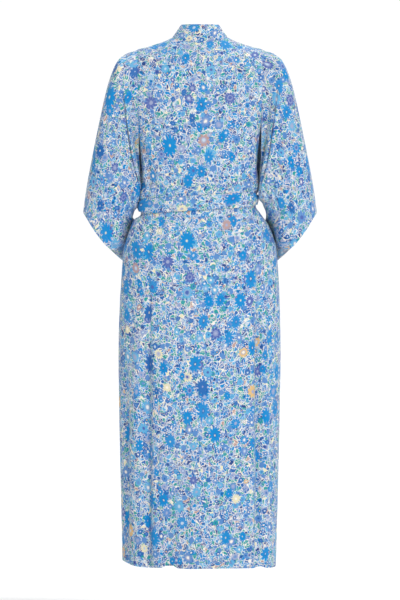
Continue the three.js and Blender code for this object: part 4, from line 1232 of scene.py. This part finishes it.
RING_OFF, RING_EDGE, RING_FROM = 0.12, (0.1, 0.03), 0.45  # the ring round most hearts
HEART_EDGE = 0.06
HUE_DRAW, HEART_DRAW = 37.7, 91.3  # make two more random numbers of a cell's third
FULL_TURN = 6.283
WARP_SCALE, WAVY, RAGGED = 46.0, 0.020, 0.007  # the motifs' unevenness: cells a metre, metres
FADE_SCALE, FADE_EDGE, FADE = 9.0, (0.42, 0.7), 0.03
CRUMPLE_SCALE, CRUMPLE_DETAIL, CRUMPLE_ROUGH, CRUMPLE_HEIGHT = 55.0, 3.0, 0.55, 0.00115
THREADS, WEAVE_HEIGHT = 9000.0, 0.00003  # radians a metre
CLOTH_ROUGH, CLOTH_ROUGHER = 0.8, 0.12  # roughness, and how much more the slow fading adds
CLOTH_SHINE = {"Sheen Weight": 0.12, "Sheen Roughness": 0.5, "Specular IOR Level": 0.25}
TWIST_SCALE, TWIST_HUE, TWIST_SHARE, TWIST_DEPTH = 900.0, (150, 178, 224), 0.4, 0.0001
FLOOR_HUES = (250, 250, 250), (247, 247, 248)


def shares(hues, weights):
    """Stops of a ramp that gives each named hue the share of its weight."""
    weight = list(weights.values())
    edges = np.concatenate([[0], np.cumsum(weight)[:-1]]) / np.sum(weight)
    return [(float(edge), hues[name]) for edge, name in zip(edges, weights)]


def voronoi(nodes, place, feature, randomness=1.0):
    """The outputs of a flat cell texture."""
    settings = {"voronoi_dimensions": "2D", "feature": feature}
    sockets = {"Vector": place, "Scale": 1.0, "Randomness": randomness}
    return nodes.add("ShaderNodeTexVoronoi", settings, sockets).outputs


def noise(nodes, place, scale, detail=2.0, roughness=0.5):
    """The outputs of a flat noise texture."""
    sockets = {"Vector": place, "Scale": scale, "Detail": detail, "Roughness": roughness}
    return nodes.add("ShaderNodeTexNoise", {"noise_dimensions": "2D"}, sockets).outputs


def split(nodes, kind, value):
    """The three numbers of a vector or a colour."""
    parts = nodes.add(kind, {}, {0: value})
    return [Signal(nodes, output) for output in list(parts.outputs)[:3]]


class Scatter:
    """One motif to each cell of an uneven grid on the flat cloth: the place from the motif's own
    middle in cell widths, the free room round it, and three random numbers of the cell."""

    def __init__(self, nodes, cloth, size, shift, randomness, wide=1.0):
        self.nodes = nodes
        place = nodes.vector("MULTIPLY", cloth, (wide / size, 1 / size, 1.0))
        place = nodes.vector("ADD", place, (shift, shift * SHIFT_SLANT, 0.0))
        near = voronoi(nodes, place, "F1", randomness)
        away = nodes.vector("SUBTRACT", place, near["Position"])
        self.room = Signal(nodes, voronoi(nodes, place, "N_SPHERE_RADIUS", randomness)["Radius"])
        self.x, self.y, _ = split(nodes, "ShaderNodeSeparateXYZ", away)
        self.chances = split(nodes, "ShaderNodeSeparateColor", near["Color"])

    def turned(self, angle):
        """The motif's own two directions, turned by an angle."""
        cosine, sine = self.nodes.math("COSINE", angle), self.nodes.math("SINE", angle)
        return self.x * cosine + self.y * sine, self.y * cosine - self.x * sine


def flowers(nodes, under, cloth, hues, layer):
    """Paints a flower in a share of the cells. Its rim swings out once for each petal; a paler or
    darker ring and a heart lie inside."""
    scatter = Scatter(nodes, cloth, *layer["cells"])
    (fewest, most), notch, heart_size = layer["petals"], layer["notch"], layer["heart"]
    ring = hues[layer["ring"]]
    one, two, three = scatter.chances
    turn = nodes.math("ARCTAN2", scatter.y, scatter.x) + one * FULL_TURN
    radius = nodes.math("SQRT", scatter.x * scatter.x + scatter.y * scatter.y)
    count = nodes.math("FLOOR", fewest + (most - fewest + 0.99) * two)
    swing = abs(nodes.math("COSINE", turn * count * 0.5))
    out = radius / (scatter.room * layer["reach"] * (1 - notch + notch * swing))
    present = nodes.math("LESS_THAN", three, layer["share"])
    inside = (1 - nodes.ease(out, *FLOWER_EDGE)) * present
    colour = nodes.pick(nodes.math("FRACT", three * HUE_DRAW), shares(hues, layer["hues"]))
    veins = nodes.ease(swing, *VEIN_ACROSS) * nodes.ease(out, *VEIN_OUT) * VEIN_SHARE
    colour = nodes.paint(colour, ring, veins)
    ringed = nodes.ease(abs(out - heart_size - RING_OFF), *RING_EDGE)
    colour = nodes.paint(colour, ring, ringed * nodes.math("GREATER_THAN", one, RING_FROM))
    heart = nodes.pick(nodes.math("FRACT", three * HEART_DRAW), shares(hues, layer["hearts"]))
    beyond = nodes.ease(out, heart_size - HEART_EDGE, heart_size + HEART_EDGE)
    return nodes.paint(under, nodes.paint(colour, heart, 1 - beyond), inside)


def leaves(nodes, under, cloth, hues):
    """Paints a pointed leaf in a share of the cells, with a pale rib."""
    scatter = Scatter(nodes, cloth, *LEAF_CELLS)
    one, two, three = scatter.chances
    along, across = scatter.turned(one * FULL_TURN)
    reach = scatter.room * LEAF_REACH
    out = abs(along / reach)
    half = reach * LEAF_HALF * (1 - out * out)
    present = nodes.math("LESS_THAN", three, LEAF_SHARE)
    inside = nodes.ease(half - abs(across), *LEAF_EDGE) * present
    colour = nodes.pick(two, shares(hues, LEAF_HUES))
    rib = nodes.ease(abs(across), *LEAF_RIB) * LEAF_RIB_SHARE
    return nodes.paint(under, nodes.paint(colour, hues["ice"], rib), inside)


def chips(nodes, under, cloth, hues):
    """Paints a close mosaic of chips with the ground left between them, some of them dotted."""
    place = nodes.vector("MULTIPLY", cloth, (1 / CHIP_WIDE, 1 / CHIP_HIGH, 0.0))
    near = voronoi(nodes, place, "F1")
    edge = Signal(nodes, voronoi(nodes, place, "DISTANCE_TO_EDGE")["Distance"])
    one, two, _ = split(nodes, "ShaderNodeSeparateColor", near["Color"])
    inside = nodes.ease(edge, *CHIP_EDGE)
    colour = nodes.paint(under, nodes.pick(one, shares(hues, CHIP_HUES)), inside)
    dot = nodes.ease(Signal(nodes, near["Distance"]), *CHIP_DOT)
    return nodes.paint(colour, under, dot * nodes.math("GREATER_THAN", two, CHIP_DOTS))


def stems(nodes, under, cloth, wide, high, shift, half, hue, share):
    """Paints thin stems along the edges of cells about wide by high metres."""
    place = nodes.vector("MULTIPLY_ADD", cloth, (1 / wide, 1 / high, 0.0), (shift, shift, 0.0))
    edge = Signal(nodes, voronoi(nodes, place, "DISTANCE_TO_EDGE")["Distance"])
    line = nodes.ease(edge, half * EDGE_SOFT[0], half * EDGE_SOFT[1])
    return nodes.paint(under, hue, line * share)


def printed(nodes, cloth, colours):
    """The robe's print, from the ground up: pale ground, a close mosaic of small chips, leaves,
    thin stems, and small, middle and large flowers."""
    hues = {name: linear(hue) for name, hue in HUES.items()}
    hues |= {"cream": tuple(colours.ground), "bright": tuple(colours.bright)}
    push = nodes.vector("SUBTRACT", noise(nodes, cloth, WARP_SCALE)["Color"], (0.5, 0.5, 0.5))
    wavy = nodes.vector("MULTIPLY_ADD", push, (WAVY, WAVY, 0.0), cloth)
    ragged = nodes.vector("MULTIPLY_ADD", push, (RAGGED, RAGGED, 0.0), cloth)
    colour = chips(nodes, hues["cream"], wavy, hues)
    colour = leaves(nodes, colour, wavy, hues)
    for *form, hue, share in STEMS:
        colour = stems(nodes, colour, wavy, *form, hues[hue], share)
    for layer in FLOWERS:
        colour = flowers(nodes, colour, ragged, hues, layer)
    return colour


def new_material(name):
    """An empty material and its nodes."""
    made = bpy.data.materials.new(name)
    made.use_nodes = True
    return made, Nodes(made.node_tree)


def surface(nodes, sockets):
    """Ends a material with a plain shader that takes these values and links."""
    shader = nodes.add("ShaderNodeBsdfPrincipled", {}, sockets)
    nodes.add("ShaderNodeOutputMaterial", {}, {"Surface": shader.outputs[0]})


def cloth_material(name, colours, reverse=0.0):
    """Printed cotton: the print with slow fading, matt, over a plain weave and a faint crumple.
    Its reverse shows the print paler, as dye that has come through."""
    made, nodes = new_material(name)
    cloth = nodes.add("ShaderNodeUVMap", {"uv_map": "cloth"}).outputs[0]
    colour = printed(nodes, cloth, colours)
    ground = tuple(colours.ground)
    if reverse:
        colour = nodes.paint(colour, ground, reverse)
    slow = Signal(nodes, noise(nodes, cloth, FADE_SCALE)[0])
    colour = nodes.paint(colour, ground, nodes.ease(slow, *FADE_EDGE) * FADE)
    threads = nodes.vector("MULTIPLY", cloth, (THREADS, THREADS, 0.0))
    warp, weft, _ = split(nodes, "ShaderNodeSeparateXYZ", threads)
    weave = nodes.math("SINE", warp) * nodes.math("SINE", weft)
    crumple = Signal(nodes, noise(nodes, cloth, CRUMPLE_SCALE, CRUMPLE_DETAIL, CRUMPLE_ROUGH)[0])
    height = crumple * CRUMPLE_HEIGHT + weave * WEAVE_HEIGHT
    bump = nodes.add("ShaderNodeBump", {}, {"Strength": 1.0, "Distance": 1.0, "Height": height})
    roughness = CLOTH_ROUGH + slow * CLOTH_ROUGHER
    surface(nodes, CLOTH_SHINE | {
        "Base Color": colour, "Roughness": roughness, "Normal": bump.outputs[0],
    })
    return made


def thread_material(colours):
    """Sewing thread: one soft blue with the ridges of its twist."""
    made, nodes = new_material("sewing_thread")
    place = nodes.add("ShaderNodeTexCoord").outputs["Object"]
    sockets = {"Vector": place, "Scale": TWIST_SCALE}
    wave = nodes.add("ShaderNodeTexWave", {"bands_direction": "DIAGONAL"}, sockets)
    twist = Signal(nodes, wave.outputs["Fac"])
    colour = nodes.paint(tuple(colours.thread), linear(TWIST_HUE), twist * TWIST_SHARE)
    sockets = {"Strength": 0.6, "Distance": TWIST_DEPTH, "Height": twist}
    bump = nodes.add("ShaderNodeBump", {}, sockets)
    surface(nodes, {"Base Color": colour, "Roughness": 0.55, "Normal": bump.outputs[0]})
    return made


def floor_material():
    """A plain near-white studio floor."""
    made, nodes = new_material("studio_floor")
    place = nodes.add("ShaderNodeTexCoord").outputs["Object"]
    grain = nodes.add("ShaderNodeTexNoise", {}, {"Vector": place, "Scale": 3.0}).outputs[0]
    colour = nodes.paint(*map(linear, FLOOR_HUES), grain)
    surface(nodes, {"Base Color": colour, "Roughness": 0.9})
    return made


def robe_materials(kind):
    """The outer face, the reverse and the thread of one kind of cloth, made once."""
    colours = bpy.context.scene.robe_colours
    found = bpy.data.materials.get
    outer = found(kind) or cloth_material(kind, colours)
    inner = found("print_reverse") or cloth_material("print_reverse", colours, colours.reverse_fade)
    thread = found("sewing_thread") or thread_material(colours)
    return [outer, inner, thread]


# ---------------------------------------------------------------- sizes and colours
def length(name, description, default):
    return FloatProperty(name=name, description=description, default=default, unit="LENGTH")


def factor(name, description, default):
    return FloatProperty(name=name, description=description, default=default, subtype="FACTOR")


def hue(name, description, default):
    default = linear(default)
    return FloatVectorProperty(name=name, description=description, default=default, subtype="COLOR")


class RobeSizes(PropertyGroup):
    """Sizes of the cloth and its sewing."""

    cell: length("Cell", "Spacing of the cloth's grid", 0.0043)
    cloth_wall: length("Cloth", "Thickness of the cloth", 0.0008)
    band_wall: length("Band", "Thickness of the doubled bands", 0.0014)
    seam_roll: length("Seam roll", "How far a seam draws the cloth's edge in", 0.0012)
    crease_strength: factor("Creases", "Strength of the laid-in creases", 1.0)
    stitch_length: length("Stitch", "Length of a stitch", 0.0024)
    stitch_gap: length("Stitch gap", "Gap between stitches", 0.001)


class RobeColours(PropertyGroup):
    """Colours of the print and the thread."""

    ground: hue("Ground", "The cloth under the print", (249, 243, 233))
    bright: hue("Large flowers", "The brightest blue", (4, 142, 212))
    thread: hue("Thread", "The sewing thread", (120, 158, 214))
    reverse_fade: factor("Reverse", "How much paler the reverse is", 0.22)


# ---------------------------------------------------------------- operators
class BackOperator(Operator):
    """Sew the back panel"""

    bl_idname = "kimono.back"
    bl_label = "Back"

    def execute(self, context):
        sizes = context.scene.robe_sizes
        grid, chest_row, centre = back_grid(sizes)
        uv = cloth_uv(grid, chest_row, centre, PANEL_PRINT["back"])
        parts = finish_panel(grid, uv, sizes)
        made = piece("back_cloth", parts, robe_materials("print_cloth"), ["back"])
        return {"FINISHED"}


class FrontsOperator(Operator):
    """Sew the two wrapped fronts"""

    bl_idname = "kimono.fronts"
    bl_label = "Fronts"

    def execute(self, context):
        sizes = context.scene.robe_sizes
        for hand, node in ((LEFT, "front_left"), (RIGHT, "front_right")):
            grid, chest_row = front_grid(hand, sizes)
            uv = cloth_uv(grid, chest_row, 0, PANEL_PRINT[node])
            parts = finish_panel(grid, uv, sizes)
            made = piece(node + "_cloth", parts, robe_materials("print_cloth"), [node])
        return {"FINISHED"}


class SleevesOperator(Operator):
    """Sew the two sleeves"""

    bl_idname = "kimono.sleeves"
    bl_label = "Sleeves"

    def execute(self, context):
        sizes = context.scene.robe_sizes
        for hand, node in ((LEFT, "sleeve_left"), (RIGHT, "sleeve_right")):
            parts = sleeve_parts(hand, sizes)
            made = piece(node + "_cloth", parts, robe_materials("print_cloth"), [node])
        return {"FINISHED"}


class CollarOperator(Operator):
    """Sew the collar band"""

    bl_idname = "kimono.collar"
    bl_label = "Collar band"

    def execute(self, context):
        parts = collar_parts(context.scene.robe_sizes)
        materials = robe_materials("band_print_cloth")
        made = piece("collar_band", parts, materials, ["collar"])
        return {"FINISHED"}


class BeltOperator(Operator):
    """Tie the belt with its knot and ends"""

    bl_idname = "kimono.belt"
    bl_label = "Belt"

    def execute(self, context):
        sizes = context.scene.robe_sizes
        materials = robe_materials("belt_print_cloth")
        made = piece("belt_band", belt_parts(sizes), materials, ["belt"])
        knot = piece("belt_knot_cloth", knot_parts(), materials, ["belt_knot"])
        for hand in (LEFT, RIGHT):
            node, _, _, length = TAILS[hand]
            end = piece(node + "_cloth", tail_parts(hand, sizes), materials, [node])
        return {"FINISHED"}


class StageOperator(Operator):
    """Set up the floor, the lights and the camera"""

    bl_idname = "kimono.stage"
    bl_label = "Stage"

    def execute(self, context):
        build_floor()
        build_lights()
        build_camera()
        return {"FINISHED"}


FLOOR_DROP = 0.12  # the floor lies this far below the hem
FLOOR_HALF = 60.0
CAMERA_DISTANCE = 20.0
CAMERA_Z = -0.637
VIEW_HEIGHT = 1.47  # metres seen from top to bottom at the robe
SENSOR = 24.0
# Soft suns: azimuth from +X to +Y and height in degrees, power, and width in degrees.
SUNS = {"key": (116, 46, 1.42, 12), "front_sun": (-112, 58, 1.4, 30)}
ROOM_SIDES, ROOM_ACROSS, ROOM_ABOVE, ROOM_SEEN = 0.04, 0.36, 0.55, 1.02  # glow of the room


def build_floor():
    """A wide square floor under the robe."""
    level = CAD_BOX[0][2] - FLOOR_DROP
    corner = np.array([(-1, -1), (1, -1), (1, 1), (-1, 1)], float) * FLOOR_HALF
    points = np.concatenate([corner, np.full((4, 1), level)], axis=1)
    mesh = bpy.data.meshes.new("floor")
    mesh.from_pydata(points.tolist(), [], [(0, 1, 2, 3)])
    mesh.materials.append(floor_material())
    floor = bpy.data.objects.new("floor", mesh)
    bpy.context.scene.collection.objects.link(floor)


def build_lights():
    """A white room, brighter to the front, to the back and above than to the sides, and two soft
    suns, one high before the back and one over the front."""
    scene = bpy.context.scene
    scene.world = bpy.data.worlds.new("white_room")
    scene.world.use_nodes = True
    nodes = Nodes(scene.world.node_tree)
    toward = nodes.add("ShaderNodeTexCoord").outputs["Generated"]
    _, across, up = split(nodes, "ShaderNodeSeparateXYZ", toward)
    above = ROOM_ABOVE * nodes.math("MAXIMUM", up, 0.0)
    glow = ROOM_SIDES + ROOM_ACROSS * across * across + above
    seen = Signal(nodes, nodes.add("ShaderNodeLightPath").outputs["Is Camera Ray"])
    sockets = {"Color": (1.0, 1.0, 1.0, 1.0), "Strength": glow + (ROOM_SEEN - glow) * seen}
    shader = nodes.add("ShaderNodeBackground", {}, sockets)
    nodes.add("ShaderNodeOutputWorld", {}, {"Surface": shader.outputs[0]})
    for name, (azimuth, height, power, width) in SUNS.items():
        data = bpy.data.lights.new(name, "SUN")
        data.energy = power
        data.angle = math.radians(width)
        sun = bpy.data.objects.new(name, data)
        sun.rotation_euler = (0.0, math.radians(90 - height), math.radians(azimuth))
        scene.collection.objects.link(sun)
    scene.view_settings.view_transform = "Standard"


def build_camera():
    """A level camera square to the back, with a long lens."""
    data = bpy.data.cameras.new("camera")
    data.sensor_fit = "VERTICAL"
    data.sensor_height = SENSOR
    data.lens = SENSOR * CAMERA_DISTANCE / VIEW_HEIGHT
    data.clip_end = 10 * CAMERA_DISTANCE
    data.dof.use_dof = False
    camera = bpy.data.objects.new("camera", data)
    camera.location = (0.0, CAMERA_DISTANCE, CAMERA_Z)
    camera.rotation_euler = (math.pi / 2, 0.0, math.pi)
    bpy.context.scene.collection.objects.link(camera)
    bpy.context.scene.camera = camera


class RobePanel(Panel):
    """Lists the robe's pieces, sizes and colours"""

    bl_idname = "VIEW3D_PT_kimono"
    bl_label = "Kimono"
    bl_space_type = "VIEW_3D"
    bl_region_type = "UI"
    bl_category = "Kimono"

    def draw(self, context):
        for operator in OPERATORS:
            self.layout.operator(operator.bl_idname)
        for group in (context.scene.robe_sizes, context.scene.robe_colours):
            for name in group.__annotations__:
                self.layout.prop(group, name)


OPERATORS = (
    BackOperator,
    FrontsOperator,
    SleevesOperator,
    CollarOperator,
    BeltOperator,
    StageOperator,
)
CLASSES = (RobeSizes, RobeColours, *OPERATORS, RobePanel)


def register():
    for kind in CLASSES:
        bpy.utils.register_class(kind)
    bpy.types.Scene.robe_sizes = PointerProperty(type=RobeSizes)
    bpy.types.Scene.robe_colours = PointerProperty(type=RobeColours)


def unregister():
    del bpy.types.Scene.robe_sizes
    del bpy.types.Scene.robe_colours
    for kind in reversed(CLASSES):
        bpy.utils.unregister_class(kind)


def main():
    register()
    bpy.ops.kimono.back()
    bpy.ops.kimono.fronts()
    bpy.ops.kimono.sleeves()
    bpy.ops.kimono.collar()
    bpy.ops.kimono.belt()
    bpy.ops.kimono.stage()


if __name__ == "__main__":
    main()
